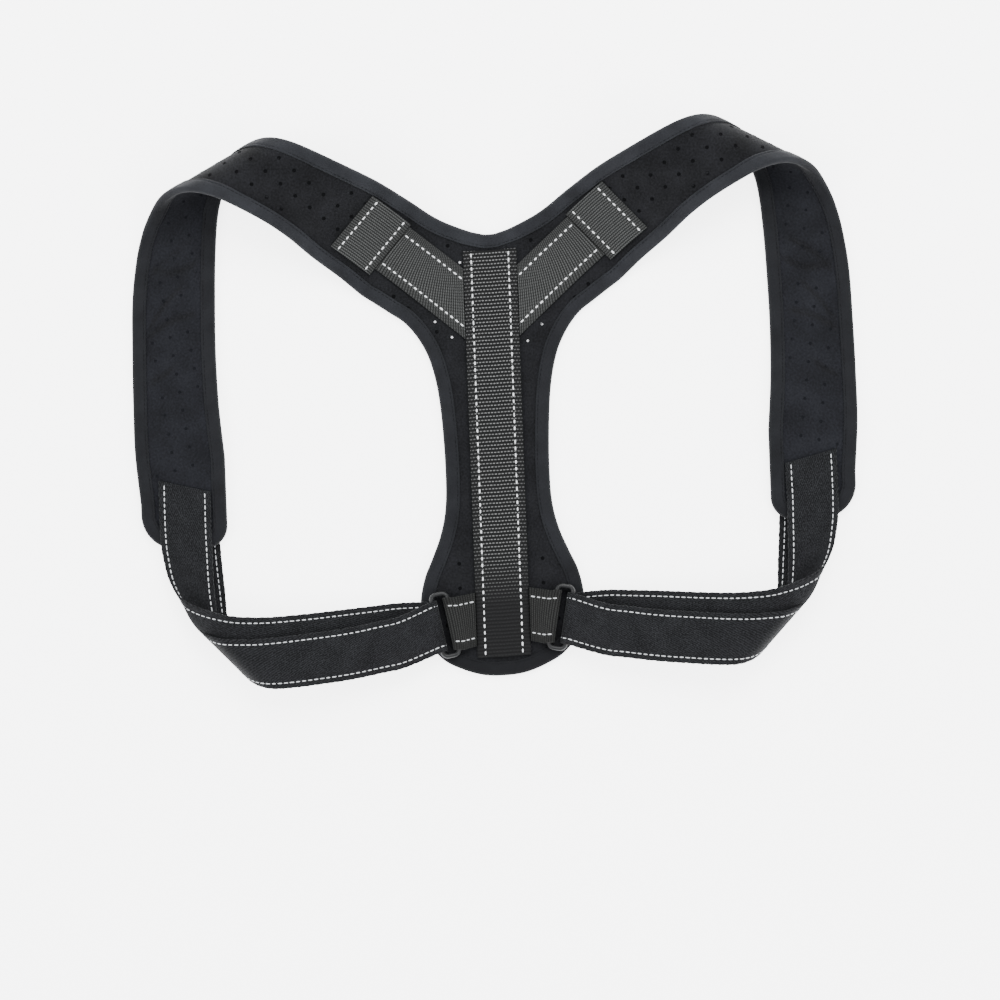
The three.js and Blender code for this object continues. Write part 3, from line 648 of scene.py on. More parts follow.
def vent_shape():
    """Low disc with a rounded rim: rings of points at rising and falling height, closed by two caps."""
    angle = np.arange(VENT_SIDES) * 2 * math.pi / VENT_SIDES
    profile = ((1.25, -0.5), (1.12, 0.14), (0.95, 0.16), (0.82, 0.03))
    rings = [
        np.stack([VENT_RADIUS * r * np.cos(angle), VENT_RADIUS * r * np.sin(angle), 0 * angle + h * MM], 1)
        for r, h in profile
    ]
    return np.concatenate(rings), pile_faces(len(profile), VENT_SIDES)


def surface_directions(pattern, high):
    """Places on the foam and three directions there: pattern X, pattern Y and away from the face."""
    step = 0.2 * MM
    here = on_foam(pattern, high)
    to_x = unit(on_foam(pattern + (step, 0), high) - here)
    to_y = on_foam(pattern + (0, step), high) - here
    to_y = unit(to_y - to_x * (to_x * to_y).sum(1, keepdims=True))
    return here, to_x, to_y, np.cross(to_x, to_y)


def vent_finish(name, dark, painted_shading):
    """Disc of one colour, blended in random rubbed patches into a second one: painted shade for the dark
    well of a hole, and for the open holes painted light of the floor seen through.
    """
    material, shader = start_finish(name, dark, 0.95, specular=0.05)
    rub = cloud(object_places(shader), 700)
    set_inputs(shader, {"Base Color": blend(rub, dark, painted_shading)})
    return material


def nearest_high(pattern, sign):
    """Height of the foam's face at the grid point nearest to each pattern point."""
    gap = np.linalg.norm(pattern[:, None] - foam_pattern[None], axis=2)
    return foam_high[sign][gap.argmin(1)]


OPEN_VENTS = np.array(((-21.6, 295.5), (-41, 253.5), (-29.2, 242), (25.2, 235.9), (35.7, 246.9))) * MM
vent_template, vent_faces = vent_shape()
vent_pattern = vent_places()
from_open = np.linalg.norm(vent_pattern[:, None] - OPEN_VENTS[None], axis=2).min(1)
vent_pattern = vent_pattern[from_open > 7 * MM]
for face_name, sign, size, dark, painted_shading in (
    ("outer", 1, 1.0, VENT_WELL_SHADE, VENT_WELL_SHADE_RUBBED), ("lining", -1, 0.8, LINING_WELL_SHADE, LINING_WELL_SHADE_RUBBED),
):
    high = nearest_high(vent_pattern, sign)
    here, to_x, to_y, away = surface_directions(vent_pattern, high)
    vents = joined_copies(
        f"vent_holes_{face_name}", vent_template, vent_faces, here, to_x * sign * size, to_y * size,
        away * sign, vent_finish(f"vent_{face_name}", dark, painted_shading),
    )
    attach(vents, "root")
# Painted light: the holes that show the floor through are pale discs on the outer face.
here, to_x, to_y, away = surface_directions(OPEN_VENTS, nearest_high(OPEN_VENTS, 1))
open_vents_painted_light = joined_copies(
    "open_vents_painted_light", vent_template, vent_faces, here, to_x * OPEN_SIZE, to_y * OPEN_SIZE, away,
    vent_finish("vent_open_painted_light", OPEN_PAINTED_LIGHT, OPEN_PAINTED_SHADE),
)
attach(open_vents_painted_light, "root")

# Edge tape
# A brushed tape is folded over the raw edge of the laminate all the way round, and sewn down through
# both walls by one row of thread in its own colour, a little in from the tape's edge.
TAPE_COLOR = (0.0062, 0.0065, 0.0077)
TAPE_DARK = (0.0024, 0.0025, 0.0031)
# Painted light: the tape is made paler at the arm sides and the neck than on the front stretches, for how
# the light falls on them.
TAPE_PAINTED_LIGHT = (0.0200, 0.0213, 0.0250)
PAINTED_LIGHT_ARMS, PAINTED_LIGHT_NECK, PAINTED_LIGHT_FRONT = 0.45, 0.55, 0.28
OUTLINE_STEP = 1.6 * MM
SEAM_REACH = 7.3 * MM             # from the foam's edge to the row of thread
GROOVE = 0.34 * MM                # depth of the groove that the thread pulls in
CROWN = 0.22 * MM                 # swell of the tape's faces
NOSE_START = 1.2 * MM             # reach at which the faces turn over into the rounded outside
NOSE = 2.5 * MM
PUCKER = 0.10 * MM


def outline_stations():
    """Even stations round the whole pattern: places, and the way in over the foam. On the curved stretch
    of a strap the way in follows the fold, so that the tape bends with the foam."""
    panel_line = panel_edge(np.linspace(0, 1, 900))
    lengths = np.linspace(0, STRAP_LENGTH, 900)
    neck, arm = strap_edges(lengths)
    end_neck, end_arm = end_edges(np.linspace(0, 1, 160))
    half = np.concatenate([panel_line, arm[1:], end_arm[1:], end_neck[::-1], neck[::-1][1:]])
    other = half[::-1][:-1] * (-1, 1)
    loop = np.concatenate([half, other])
    run = run_of(loop)
    count = int(round(run[-1] / OUTLINE_STEP))
    even = np.arange(count) * run[-1] / count
    points = np.stack([np.interp(even, run, loop[:, i]) for i in range(2)], 1)
    tangent = unit(np.roll(points, -2, 0) - np.roll(points, 2, 0))
    square = np.stack([-tangent[:, 1], tangent[:, 0]], 1)
    ruling = np.stack([np.where(points[:, 0] < 0, -1, 1) * FOLD_ALONG[0], np.full(count, FOLD_ALONG[1])], 1)
    cross = ruling[:, 0] * tangent[:, 1] - ruling[:, 1] * tangent[:, 0]
    inward = np.sign((ruling * square).sum(1))[:, None]
    ruling = ruling * inward / np.maximum(np.abs(cross), 0.3)[:, None]
    across = fold_places(points)[1] - RISE_START
    curved = smooth_step(across / (12 * MM)) * smooth_step((ROLL_END + 40 * MM - across) / (36 * MM))
    way = square + (ruling - square) * curved[:, None]
    return points, way, even


def tape_section():
    """Cross section of the folded tape as reach over the foam and height: a rounded outside with a groove
    at the seam, and the plain inside that the foam sits in."""
    inside = HALF_FOAM + CLEARANCE
    reach = np.linspace(TAPE_REACH, NOSE_START, 15)
    crown = CROWN * np.sin(math.pi * np.clip((TAPE_REACH - reach) / TAPE_REACH, 0, 1))
    groove = GROOVE * np.exp(-((reach - SEAM_REACH) / (0.55 * MM)) ** 2)
    edge = 0.55 * MM * np.clip(1 - (TAPE_REACH - reach) / (0.7 * MM), 0, 1) ** 2
    top = np.stack([reach, TAPE_OUTSIDE - 0.12 * MM + crown - groove - edge], 1)
    angle = np.linspace(math.pi / 2, -math.pi / 2, 13)[1:-1]
    nose_reach = NOSE_START - NOSE * np.cos(angle)
    nose = np.stack([nose_reach, (TAPE_OUTSIDE - 0.05 * MM) * np.sin(angle)], 1)
    bottom = top[::-1] * (1, -1)
    low_wall = np.array([(TAPE_REACH, -inside), (-CLEARANCE * 0.6, -inside)])
    high_wall = low_wall[::-1] * (1, -1)
    return np.concatenate([top, nose, bottom, low_wall, high_wall])


def tape_finish():
    """Brushed cloth: fine uneven nap over a soft change of shade, made paler by painted light where a point
    attribute says.
    """
    material, shader = start_finish("brushed_tape", TAPE_COLOR, 0.85, sheen=0.05, specular=0.12)
    places = object_places(shader)
    nap = cloud(places, 1500, 2.0)
    uneven = cloud(places, 60, 4.0)
    shade = (nap * 0.8 + uneven * 0.9 - 0.35).clamped()
    # Painted light: the tape's colour goes paler by the share in the point attribute.
    light = blend(attribute_value(shader, "painted_shading"), TAPE_COLOR, TAPE_PAINTED_LIGHT)
    give_looks(shader, blend(shade, TAPE_DARK, light), nap * 0.6 + uneven, 0.30 * MM, 0.5)
    return material


outline, outline_way, outline_run = outline_stations()
section = tape_section()
pucker = PUCKER * (np.sin(outline_run / (2.9 * MM)) + np.sin(outline_run / (4.7 * MM) + 1.0))
outline_across = fold_places(outline)[1] - RISE_START
tape_pattern = outline[:, None] + outline_way[:, None] * section[None, :, :1]
tape_high = section[None, :, 1] + pucker[:, None] * np.sign(section[None, :, 1]) * (
    np.abs(section[None, :, 1]) > HALF_FOAM + 0.6 * MM
) * smooth_step(section[None, :, 0] / (4 * MM))
tape_points = on_foam(tape_pattern, tape_high).reshape(-1, 3)
tape_points[:, 2] = np.maximum(tape_points[:, 2], LAID_Z)
tape_quads = grid_quads(len(outline), len(section), ring=True, tube=True)
tape_faces = outward(tape_points, tape_quads).tolist()
tape_places = grid_places(section[None, :, 0], outline_run[:, None])
tape = mapped_piece("edge_tape", tape_points, tape_faces, tape_places, tape_finish())
# Share of painted light on the tape: more at the arm sides and the neck, less on the front stretches.
at_arms = smooth_step((outline[:, 1] - 30 * MM) / (60 * MM))
at_neck = smooth_step((outline[:, 1] - 230 * MM) / (60 * MM))
in_front = smooth_step((outline_across - RISE_LENGTH) / (60 * MM))
painted_light_share = (PAINTED_LIGHT_ARMS * at_arms + PAINTED_LIGHT_NECK * at_neck) * (1 - in_front) + PAINTED_LIGHT_FRONT * in_front
mark(tape, "painted_shading", np.repeat(painted_light_share, len(section)))
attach(tape, "root")
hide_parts("edge_binding")

# Spine webbing
# Heavy ribbed webbing runs down the middle of the back, woven with pale flecks on black. It is cut
# square at both ends and sewn down along both sides.
RIB = 2.6 * MM
FLECK = 2.4 * MM
WEB_BLACK = (0.0027, 0.0027, 0.0029)
WEB_FLECK = (0.115, 0.117, 0.115)
WEB_BARE = (38 * MM, 40 * MM)     # from the lower end: where the flecks start, and the length they grow over


def web_section(width, columns, thickness):
    """Closed section of a webbing: top face, rounded side, bottom face and rounded side, as distance
    across and height above the middle of its thickness. Equal numbers of points lie on each face."""
    radius = thickness / 2
    flat = np.linspace(-width / 2 + radius, width / 2 - radius, columns)
    angle = np.linspace(math.pi / 2, 0, 4)[1:]
    side = np.stack([width / 2 - radius + radius * np.cos(angle), radius * np.sin(angle)], 1)
    top = np.stack([flat, np.full(columns, radius)], 1)
    half = np.concatenate([side[:-1][::-1] * (-1, 1), top, side[:-1]])
    right = side[-1:]
    return np.concatenate([half, right, half[::-1] * (1, -1), right * (-1, 1)])


def strip_faces(rows, columns):
    """Quads along a row of closed sections, and the faces that close both ends. Point j of a section
    lies over point columns - 2 - j, and the last point is the middle of the first side."""
    along = grid_quads(rows, columns, tube=True)
    half = (columns - 2) // 2
    j = np.arange(half - 1)
    cap = np.stack([j, columns - 2 - j, columns - 3 - j, j + 1], 1)
    sides = np.array([[columns - 1, columns - 2, 0], [half - 1, half + 1, half]])
    last = (rows - 1) * columns
    ends = [faces.tolist() for near in (cap, sides) for faces in (near, near[:, ::-1] + last)]
    return along, sum(ends, [])


def strip_piece(name, sections, places, finish):
    """Webbing through a row of closed sections, with its ends closed."""
    points = sections.reshape(-1, 3)
    along, ends = strip_faces(*sections.shape[:2])
    faces = along.tolist() + ends
    if not np.array_equal(outward(points, along), along):
        faces = [face[::-1] for face in faces]
    return mapped_piece(name, points, faces, places, finish)


ROW_BOW = 2.2                     # bow of the rows of flecks, for each metre of the distance squared
# Painted shade and light on the ribs: the ground is darker between two ribs and lighter on top of one.
RIB_GAP_PAINTED_SHADE = 0.35                   # shade between two ribs and on top of one, as shares of the ground's
RIB_TOP_PAINTED_LIGHT = 1.9


def flecked_finish(name, black, fleck, rib, spacing, dot, selvedge, bare=None):
    """Ribbed weave: in each rib a row of flecks, each an oval with a soft rim, with every other row
    moved half a step, over ribs that rise as a half sine wave, with painted shade between the ribs and
    painted light on their tops. No flecks show past the selvedge, nor near the lower end if a bare length
    is given."""
    material, shader = start_finish(name, black, 0.78, sheen=0.03, specular=0.15)
    u, v, places = cloth_places(shader)
    wobble = cloud(places, 220, 2.0)
    row = (u * u * ROW_BOW + v) / rib
    in_row = row.math("FRACT")
    shift = row.math("FLOOR").math("MODULO", 2) * 0.5
    column = u / spacing + shift + wobble * 0.30 - 0.15
    off_x = ((column.math("FRACT") * 2 - 1) / dot[0]).size()
    off_y = ((in_row * 2 - 1) / dot[1]).size()
    oval = ((off_x.math("POWER", 3) + off_y.math("POWER", 3)) * -2.2 + 2.6).clamped()
    patchy = (cloud(places, 420) * 1.1 + 0.35).clamped()
    woven = ((u.size() * -1 + selvedge) / (0.6 * MM)).clamped()
    share = oval * patchy * (woven * 0.5 + 0.5)
    if bare:
        share = share * (((v - bare[0]) / bare[1]).clamped() * 0.97 + 0.03)
    ridge = (in_row * math.pi).math("SINE")
    rib_relief_and_painted_shade = ridge * (cloud(places, 1100, 2.0) * 1.4 + 0.3)
    # Painted shade between the ribs and painted light on their tops, following the rib wave.
    gap = tuple(RIB_GAP_PAINTED_SHADE * c for c in black)
    raised = tuple(RIB_TOP_PAINTED_LIGHT * c for c in black)
    color = blend(share, blend(rib_relief_and_painted_shade, gap, raised), fleck)
    give_looks(shader, color, oval * 0.8 + wobble + rib_relief_and_painted_shade, 0.32 * MM, 0.8)
    return material


def sewn_webbing(name, width, length, place, rib, columns, finish, relief=0.16 * MM):
    """Webbing that lies on the foam: its section is carried along its length, its ribs rise as half sine
    waves across it, and its edges wave in and out by a little with the ribs."""
    section = web_section(width, columns, WEBBING)
    rows = int(round(length / rib * 6)) + 1
    along = np.linspace(0, length, rows)
    rib_wave = np.abs(np.sin(math.pi * along / rib))
    aside = section[None, :, 0] * (1 - 0.008 * (1 - rib_wave[:, None]))
    on_top = smooth_step(section[None, :, 1] / WEBBING + 0.5)
    inset = smooth_step((width / 2 - np.abs(section[None, :, 0])) / (1.2 * MM))
    dip = relief * (1 - rib_wave[:, None]) * on_top * inset
    high = section[None, :, 1] + WEBBING_LOW + WEBBING / 2 - dip
    pattern = place(np.broadcast_to(along[:, None], aside.shape), aside)
    points = on_foam(pattern, high)
    return strip_piece(name, points, grid_places(aside, along[:, None]), finish)


SPINE_LENGTH = PANEL_HEIGHT - 2 * SPINE_INSET


def spine_place(along, aside):
    """Pattern place on the spine webbing from the distance up from its lower end and to its right."""
    return np.stack([aside, SPINE_INSET + along], -1)


spine_webbing = sewn_webbing(
    "back_webbing", SPINE_WIDTH, SPINE_LENGTH, spine_place, RIB, 32,
    flecked_finish("flecked_webbing", WEB_BLACK, WEB_FLECK, RIB, FLECK, (0.70, 0.35), 15 * MM, WEB_BARE),
)
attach(spine_webbing, "root")
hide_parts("spine_webbing")

# Shoulder webbings and cross patches
# Lighter ribbed webbing goes from the spine up to each shoulder, and a short piece of the same
# webbing, turned square to it, is sewn across its end.
SIDES = {"left": -1, "right": 1}
DIAGONAL_WIDTH = 39.2 * MM
DIAGONAL_ANGLE = math.radians(40.2)
DIAGONAL_FOOT = 265.7 * MM
PATCH_LENGTH = 46.8 * MM
PATCH_WIDTH = 37 * MM
PATCH_DISTANCE = 85.3 * MM
PATCH_SHIFT = 1.8 * MM
FINE_RIB = 1.9 * MM
SHOULDER_DARK = (0.0085, 0.0088, 0.0086)
SHOULDER_FLECK = (0.0490, 0.0505, 0.0495)


def diagonal_place(side):
    """Pattern place on a shoulder webbing from the distance up its middle line and to its upper side."""
    def place(along, aside):
        c, s = math.cos(DIAGONAL_ANGLE), math.sin(DIAGONAL_ANGLE)
        foot = SPINE_WIDTH / 2 + CLEARANCE
        return np.stack([side * (foot + along * c - aside * s), DIAGONAL_FOOT + along * s + aside * c], -1)
    return place


def patch_place(side):
    """Pattern place on a patch from the distance along it, from the arm side, and to its outer side."""
    def place(along, aside):
        return diagonal_place(side)(PATCH_DISTANCE + aside, along - PATCH_LENGTH / 2 - PATCH_SHIFT)
    return place


SLANT = math.tan(DIAGONAL_ANGLE)
DIAGONAL_END = PATCH_DISTANCE - PATCH_WIDTH / 2 - CLEARANCE
shoulder_finish = flecked_finish(
    "shoulder_webbing", SHOULDER_DARK, SHOULDER_FLECK, FINE_RIB, 1.7 * MM, (0.84, 0.64), 15.2 * MM,
)
for side_name, side in SIDES.items():
    line_place = diagonal_place(side)

    def from_spine(along, aside):
        """Place with the lower end cut along the spine webbing."""
        start = aside * SLANT
        return line_place(start + (DIAGONAL_END - start) * along / DIAGONAL_END, aside)

    diagonal = sewn_webbing(
        f"shoulder_webbing_{side_name}", DIAGONAL_WIDTH, DIAGONAL_END, from_spine, FINE_RIB, 26,
        shoulder_finish,
    )
    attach(diagonal, "root")
    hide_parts(f"diagonal_webbing_{side_name}")

    patch = sewn_webbing(
        f"shoulder_patch_{side_name}", PATCH_WIDTH, PATCH_LENGTH, patch_place(side), FINE_RIB, 24,
        shoulder_finish,
    )
    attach(patch, "root")
    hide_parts(f"cross_patch_{side_name}")

# Rings
# Each ring is a moulded oblong of round bar. It stands off the panel, held by its tab at one long bar
# and by the adjusting strap at the other.
RING_BAR = 3.2 * MM
RING_LENGTH = 45 * MM
RING_SPAN = 11.8 * MM
RING_CORNER = 3.8 * MM
RING_LEAN = math.radians(10.6)
RING_OUT = 41.6 * MM
RING_UP = 36 * MM
RING_HEIGHT = 10.2 * MM
MOULDING = (0.0035, 0.0037, 0.0041)
MOULDING_WORN = (0.0070, 0.0073, 0.0078)


def ring_frame(side):
    """Middle of a ring and its short, long and upright directions."""
    x = side * RING_OUT
    lift = float(side_lift(np.array(x)))
    middle = np.array((x, RING_UP + lift + LAID_Y, RING_HEIGHT + LAID_Z))
    short = np.array((side * math.cos(RING_LEAN), -math.sin(RING_LEAN), 0))
    long = np.array((side * math.sin(RING_LEAN), math.cos(RING_LEAN), 0))
    return middle, short, long, np.array((0, 0, 1.0))


def ring_points(side, corner_steps=8, bar_sides=14):
    """Round bar carried round an oblong with rounded corners."""
    middle, short, long, up = ring_frame(side)
    turn = np.linspace(0, math.pi / 2, corner_steps)[None, :] + np.arange(4)[:, None] * math.pi / 2
    turn = turn.ravel()
    sign_short = np.repeat((1, -1, -1, 1), corner_steps)
    sign_long = np.repeat((1, 1, -1, -1), corner_steps)
    center_short = sign_short * (RING_SPAN / 2 - RING_CORNER)
    center_long = sign_long * (RING_LENGTH / 2 - RING_CORNER)
    around = np.arange(bar_sides) * 2 * math.pi / bar_sides
    reach = RING_CORNER + RING_BAR / 2 * np.cos(around)[None]
    a = center_short[:, None] + reach * np.cos(turn)[:, None]
    b = center_long[:, None] + reach * np.sin(turn)[:, None]
    c = np.broadcast_to(RING_BAR / 2 * np.sin(around)[None], a.shape)
    points = middle + a[..., None] * short + b[..., None] * long + c[..., None] * up
    places = grid_places(around[None] * RING_BAR / 2, b)
    return points.reshape(-1, 3), grid_quads(len(turn), bar_sides, ring=True, tube=True), places


def moulded_finish():
    """Moulded plastic: even and slightly grained, with a soft gloss."""
    material, shader = start_finish("moulded_plastic", MOULDING, 0.45, specular=0.3)
    places = object_places(shader)
    worn = cloud(places, 130)
    give_looks(shader, blend(worn, MOULDING, MOULDING_WORN), cloud(places, 2200, 2.0), 0.05 * MM, 0.5)
    return material


plastic = moulded_finish()
for side_name, side in SIDES.items():
    points, faces, places = ring_points(side)
    faces = outward(points, faces).tolist()
    ring = mapped_piece(f"oblong_ring_{side_name}", points, faces, places, plastic)
    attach(ring, "root")
    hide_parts(f"ring_{side_name}")

# Ring tabs
# A short length of the lighter webbing comes out from the spine webbing, goes round the ring's inner
# bar and lies back on itself, sewn down near the spine.
TAB_WIDTH = 38.4 * MM
TAB_RISE = 2.8 * MM               # how much higher a tab is sewn on at the spine than it lies at its ring
TAB_RIB = 1.7 * MM
TAB_DARK = (0.0030, 0.0031, 0.0029)
TAB_FLECK = (0.0188, 0.0192, 0.0182)
RIB_STEPS = 5


def bar_turn(side, short_place, outward_sign, thickness):
    """Middles of a strap round a long bar, from below the bar to above it."""
    middle, short, _, up = ring_frame(side)
    radius = RING_BAR / 2 + SEAT + thickness / 2
    angle = np.linspace(0, math.pi, 7)[:, None]
    aside = short_place + outward_sign * radius * np.sin(angle)
    return middle + aside * short - radius * np.cos(angle) * up


def bow_shape(share):
    """How much of a section's bow a point has, from its share of the half width: nothing at the edges."""
    return (1 - share**2) ** 2 * (1 + share)


def band_sections(middles, halves, width, thickness, step, columns, rib, relief, bows=None, fray=0.0):
    """Closed sections of a strap through given middles and vectors to its first edge. A smooth curve goes
    through both, each section stands square to the run, with ribs as half sine waves, and a section may
    be bowed out by a given vector. Frayed edges wave in and out as the product of two sine waves."""
    knots = run_of(middles)
    run = np.linspace(0, knots[-1], int(round(knots[-1] / step)) + 1)
    middle = table_curve(knots, middles, run)
    half = table_curve(knots, halves, run)
    way = np.gradient(middle, run, axis=0)
    normal = unit(np.cross(way, half))
    section = web_section(width, columns, thickness)
    rib_wave = np.abs(np.sin(math.pi * run / rib))[:, None]
    inset = smooth_step((width / 2 - np.abs(section[None, :, 0])) / (1.2 * MM))
    high = section[None, :, 1] - relief * (1 - rib_wave) * np.sign(section[None, :, 1]) * inset
    share = section[:, 0] / (width / 2)
    bow = table_curve(knots, np.zeros_like(middles) if bows is None else bows, run)
    wave = 1 + 2 * fray / width * np.sin(run / (0.83 * MM)) * np.sin(run / (2.3 * MM) + 0.6)
    wide = share[None, :, None] * wave[:, None, None]
    points = middle[:, None] + half[:, None] * wide + normal[:, None] * high[..., None]
    points = points + bow[:, None] * bow_shape(share)[None, :, None]
    places = grid_places(section[None, :, 0], run[:, None])
    return points, places, (run, middle, half, normal, bow)


def tab_line(side):
    """Middles and half widths of a tab, from the spine under the bar and back over it."""
    middle, short, long, _ = ring_frame(side)
    start = SPINE_WIDTH / 2 + CLEARANCE
    low = TAPE_OUTSIDE + WEBBING_LOW + WEBBING / 2 + LAID_Z
    high = low + WEBBING + SEAT
    bar_top = middle[2] + RING_BAR / 2 + SEAT + WEBBING / 2
    bar_low = middle[2] - RING_BAR / 2 - SEAT - WEBBING / 2
    bar = middle - short * RING_SPAN / 2
    reach = abs(bar[0]) - start
    under = ((0, low), (0.3, low), (0.6, low + (bar_low - low) * 0.3), (0.85, bar_low))
    over = ((0.75, bar_top - (bar_top - high) * 0.15), (0.5, high + (bar_top - high) * 0.45),
            (0.3, high + (bar_top - high) * 0.1), (0.12, high), (0, high))
    upright = np.array((0, TAB_WIDTH / 2, 0))
    leaning = long * TAB_WIDTH / 2

    def at(rows):
        share = np.array([row[0] for row in rows])[:, None]
        place = np.stack([side * (start + reach * share[:, 0]), middle[1] + TAB_RISE * (1 - share[:, 0]),
                          np.array([row[1] for row in rows])], 1)
        return place, upright + (leaning - upright) * share

    turn = bar_turn(side, -RING_SPAN / 2, 1, WEBBING)
    below, above = at(under), at(over)
    middles = np.concatenate([below[0], turn, above[0]])
    halves = np.concatenate([below[1], np.tile(leaning, (len(turn), 1)), above[1]])
    return middles, halves


tab_finish = flecked_finish(
    "tab_webbing", TAB_DARK, TAB_FLECK, TAB_RIB, 1.6 * MM, (0.84, 0.64), 15 * MM,
)
tab_runs = {}
for side_name, side in SIDES.items():
    middles, halves = tab_line(side)
    points, places, tab_runs[side] = band_sections(
        middles, halves, TAB_WIDTH, WEBBING, TAB_RIB / RIB_STEPS, 24, TAB_RIB, 0.14 * MM,
    )
    tab = strip_piece(f"tab_webbing_{side_name}", points, places, tab_finish)
    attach(tab, "root")
    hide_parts(f"ring_tab_{side_name}")

# Adjusting straps
# A soft twill strap is sewn on the inner face of each front stretch, turns over at the lower corner,
# goes in to the ring and round its bar, and comes back underneath to fasten behind the front stretch.
ADJUST_WIDTH = 37 * MM
CURL_HEIGHT = 36 * MM
ADJUST_INSET = 1.6 * MM
INNER_RUN = {
    "out": (0.156, 0.343, 0.545, 0.668, 0.762, 0.834, 0.890, 0.936,
            0.961, 0.978, 0.989, 0.996, 1.001, 1.003, 1.002),
    "up": (-0.003, -0.042, -0.082, -0.094, -0.080, -0.036, 0.020, 0.105,
           0.232, 0.385, 0.555, 0.754, 0.986, 1.240, 1.688),
    "high": (0.30, 0.50, 0.68, 0.78, 0.77, 0.71, 0.60, 0.49, 0.38, 0.29, 0.25, 0.25, 0.255, 0.25, 0.212),
    "turn": (86, 89, 88, 78, 65, 58, 55, 53, 48, 40, 29, 18, 7, 1, 14),
    "tip": (0, 2, 3, 5, 7, 6, 5, 5, 4, 1, 0, 0, 0, 0, 0),
    "stretch": (1.00, 1.00, 1.00, 1.02, 1.14, 1.30, 1.40, 1.36, 1.26, 1.16, 1.05, 1.00, 1.00, 1.00, 1.03),
}
OUTER_RUN = {
    "out": (0.145, 0.343, 0.520, 0.610, 0.675, 0.730, 0.780, 0.823,
            0.858, 0.893, 0.920, 0.942, 0.958, 0.968, 0.976, 0.982),
    "up": (-0.150, -0.246, -0.296, -0.316, -0.325, -0.322, -0.306, -0.270,
           -0.210, -0.060, 0.142, 0.358, 0.592, 0.830, 1.180, 1.737),
    "high": (0.58, 0.78, 0.91, 0.94, 0.94, 0.93, 0.88, 0.74,
             0.54, 0.31, 0.15, 0.06, 0.025, 0.025, 0.025, 0.025),
    "turn": (86, 89, 84, 74, 64, 56, 51, 49, 47, 45, 39, 29, 15, 7, 1, -1),
    "tip": (0, 0, 0, 0, 0, 1, 4, 6, 5, 3, 1, 0, 0, 0, 0, 0),
    "stretch": (1.00, 1.00, 1.00, 1.02, 1.08, 1.18, 1.25, 1.26,
                1.21, 1.15, 1.06, 1.00, 1.00, 1.00, 1.00, 1.00),
}
STRAP_BLACK = (0.0016, 0.0017, 0.0020)
STRAP_GREY = (0.0210, 0.0218, 0.0240)
FRAY = 0.22 * MM                  # how far the worn edges wave
CURL_ROW = 6.0                    # row of the inner run's table at the middle of that bulge
CURL_ROWS = 3.6                   # and how many rows it takes to fade
CURL_SWELL = 4.5 * MM             # how far the inner run bulges outward where it turns over at the corner
BOW_OUT, BOW_DOWN = 0.75, 0.66    # the bulge's direction, away from the spine and down the page
TWILL = 1.5 * MM


def run_line(side, run, steps):
    """Middles and half widths of one run of an adjusting strap, from the shares in its table."""
    bar_middle, short, _, _ = ring_frame(1)
    bar = bar_middle + short * RING_SPAN / 2
    arm, neck = on_foam(np.stack([END_ARM, END_NECK]), 0)
    end_x = (arm[0] + neck[0]) / 2 - ADJUST_INSET
    end_y = arm[1] - END_DROP - float(side_lift(arm[0]))
    bar_y = bar[1] - float(side_lift(bar[0]))
    place = np.linspace(0, len(run["out"]) - 1, steps + 1)
    rows = np.arange(len(run["out"]))
    value = {key: table_curve(rows, column, place) for key, column in run.items()}
    x = side * (bar[0] + (end_x - bar[0]) * value["out"])
    y = bar_y + (end_y - bar_y) * value["up"] + side_lift(x)
    z = CURL_HEIGHT * value["high"] + LAID_Z
    turn, tip = np.radians(value["turn"]), np.radians(value["tip"])
    half = np.stack([side * np.cos(tip) * np.cos(turn), np.cos(tip) * np.sin(turn), np.sin(tip)], 1)
    return np.stack([x, y, z], 1), half * (ADJUST_WIDTH / 2 * value["stretch"])[:, None]


def twill_finish():
    """Brushed twill: slanting lines as a saw wave along the strap, softened by a fine nap."""
    material, shader = start_finish("brushed_twill", STRAP_BLACK, 0.9, sheen=0.04, specular=0.12)
    u, v, places = cloth_places(shader)
    wobble = cloud(places, 300, 2.0)
    slant = u / TWILL + v / (2.2 * TWILL) + wobble * 0.9
    line = (slant.math("FRACT") * 2 - 1).size()
    nap = cloud(places, 900)
    uneven = cloud(places, 70, 4.0)
    shade = (line * 0.55 + nap * 2.0 + uneven * 0.6 - 1.31).clamped()
    give_looks(shader, blend(shade, STRAP_BLACK, STRAP_GREY), line * 0.6 + nap, 0.35 * MM, 0.9)
    return material


twill = twill_finish()
adjust_runs = {}
for side_name, side in SIDES.items():
    inner_middle, inner_half = run_line(side, INNER_RUN, 33)
    outer_middle, outer_half = run_line(side, OUTER_RUN, 36)
    turn = bar_turn(side, RING_SPAN / 2, -1, ADJUST)
    along_bar = ring_frame(side)[2] * ADJUST_WIDTH / 2
    middles = np.concatenate([inner_middle[::-1], turn, outer_middle])
    halves = np.concatenate([inner_half[::-1], np.tile(along_bar, (len(turn), 1)), outer_half])
    place = np.linspace(0, len(INNER_RUN["out"]) - 1, len(inner_middle))
    swell = CURL_SWELL * np.clip(1 - ((place - CURL_ROW) / CURL_ROWS) ** 2, 0, 1) ** 2
    bows = np.zeros_like(middles)
    bows[:len(inner_middle)] = (swell[:, None] * (side * BOW_OUT, -BOW_DOWN, 0))[::-1]
    points, places, adjust_runs[side] = band_sections(
        middles, halves, ADJUST_WIDTH, ADJUST, 0.9 * MM, 26, 2.6 * MM, 0.0, bows, FRAY,
    )
    strap = strip_piece(f"twill_strap_{side_name}", points, places, twill)
    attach(strap, "root")
    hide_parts(f"adjust_strap_{side_name}")

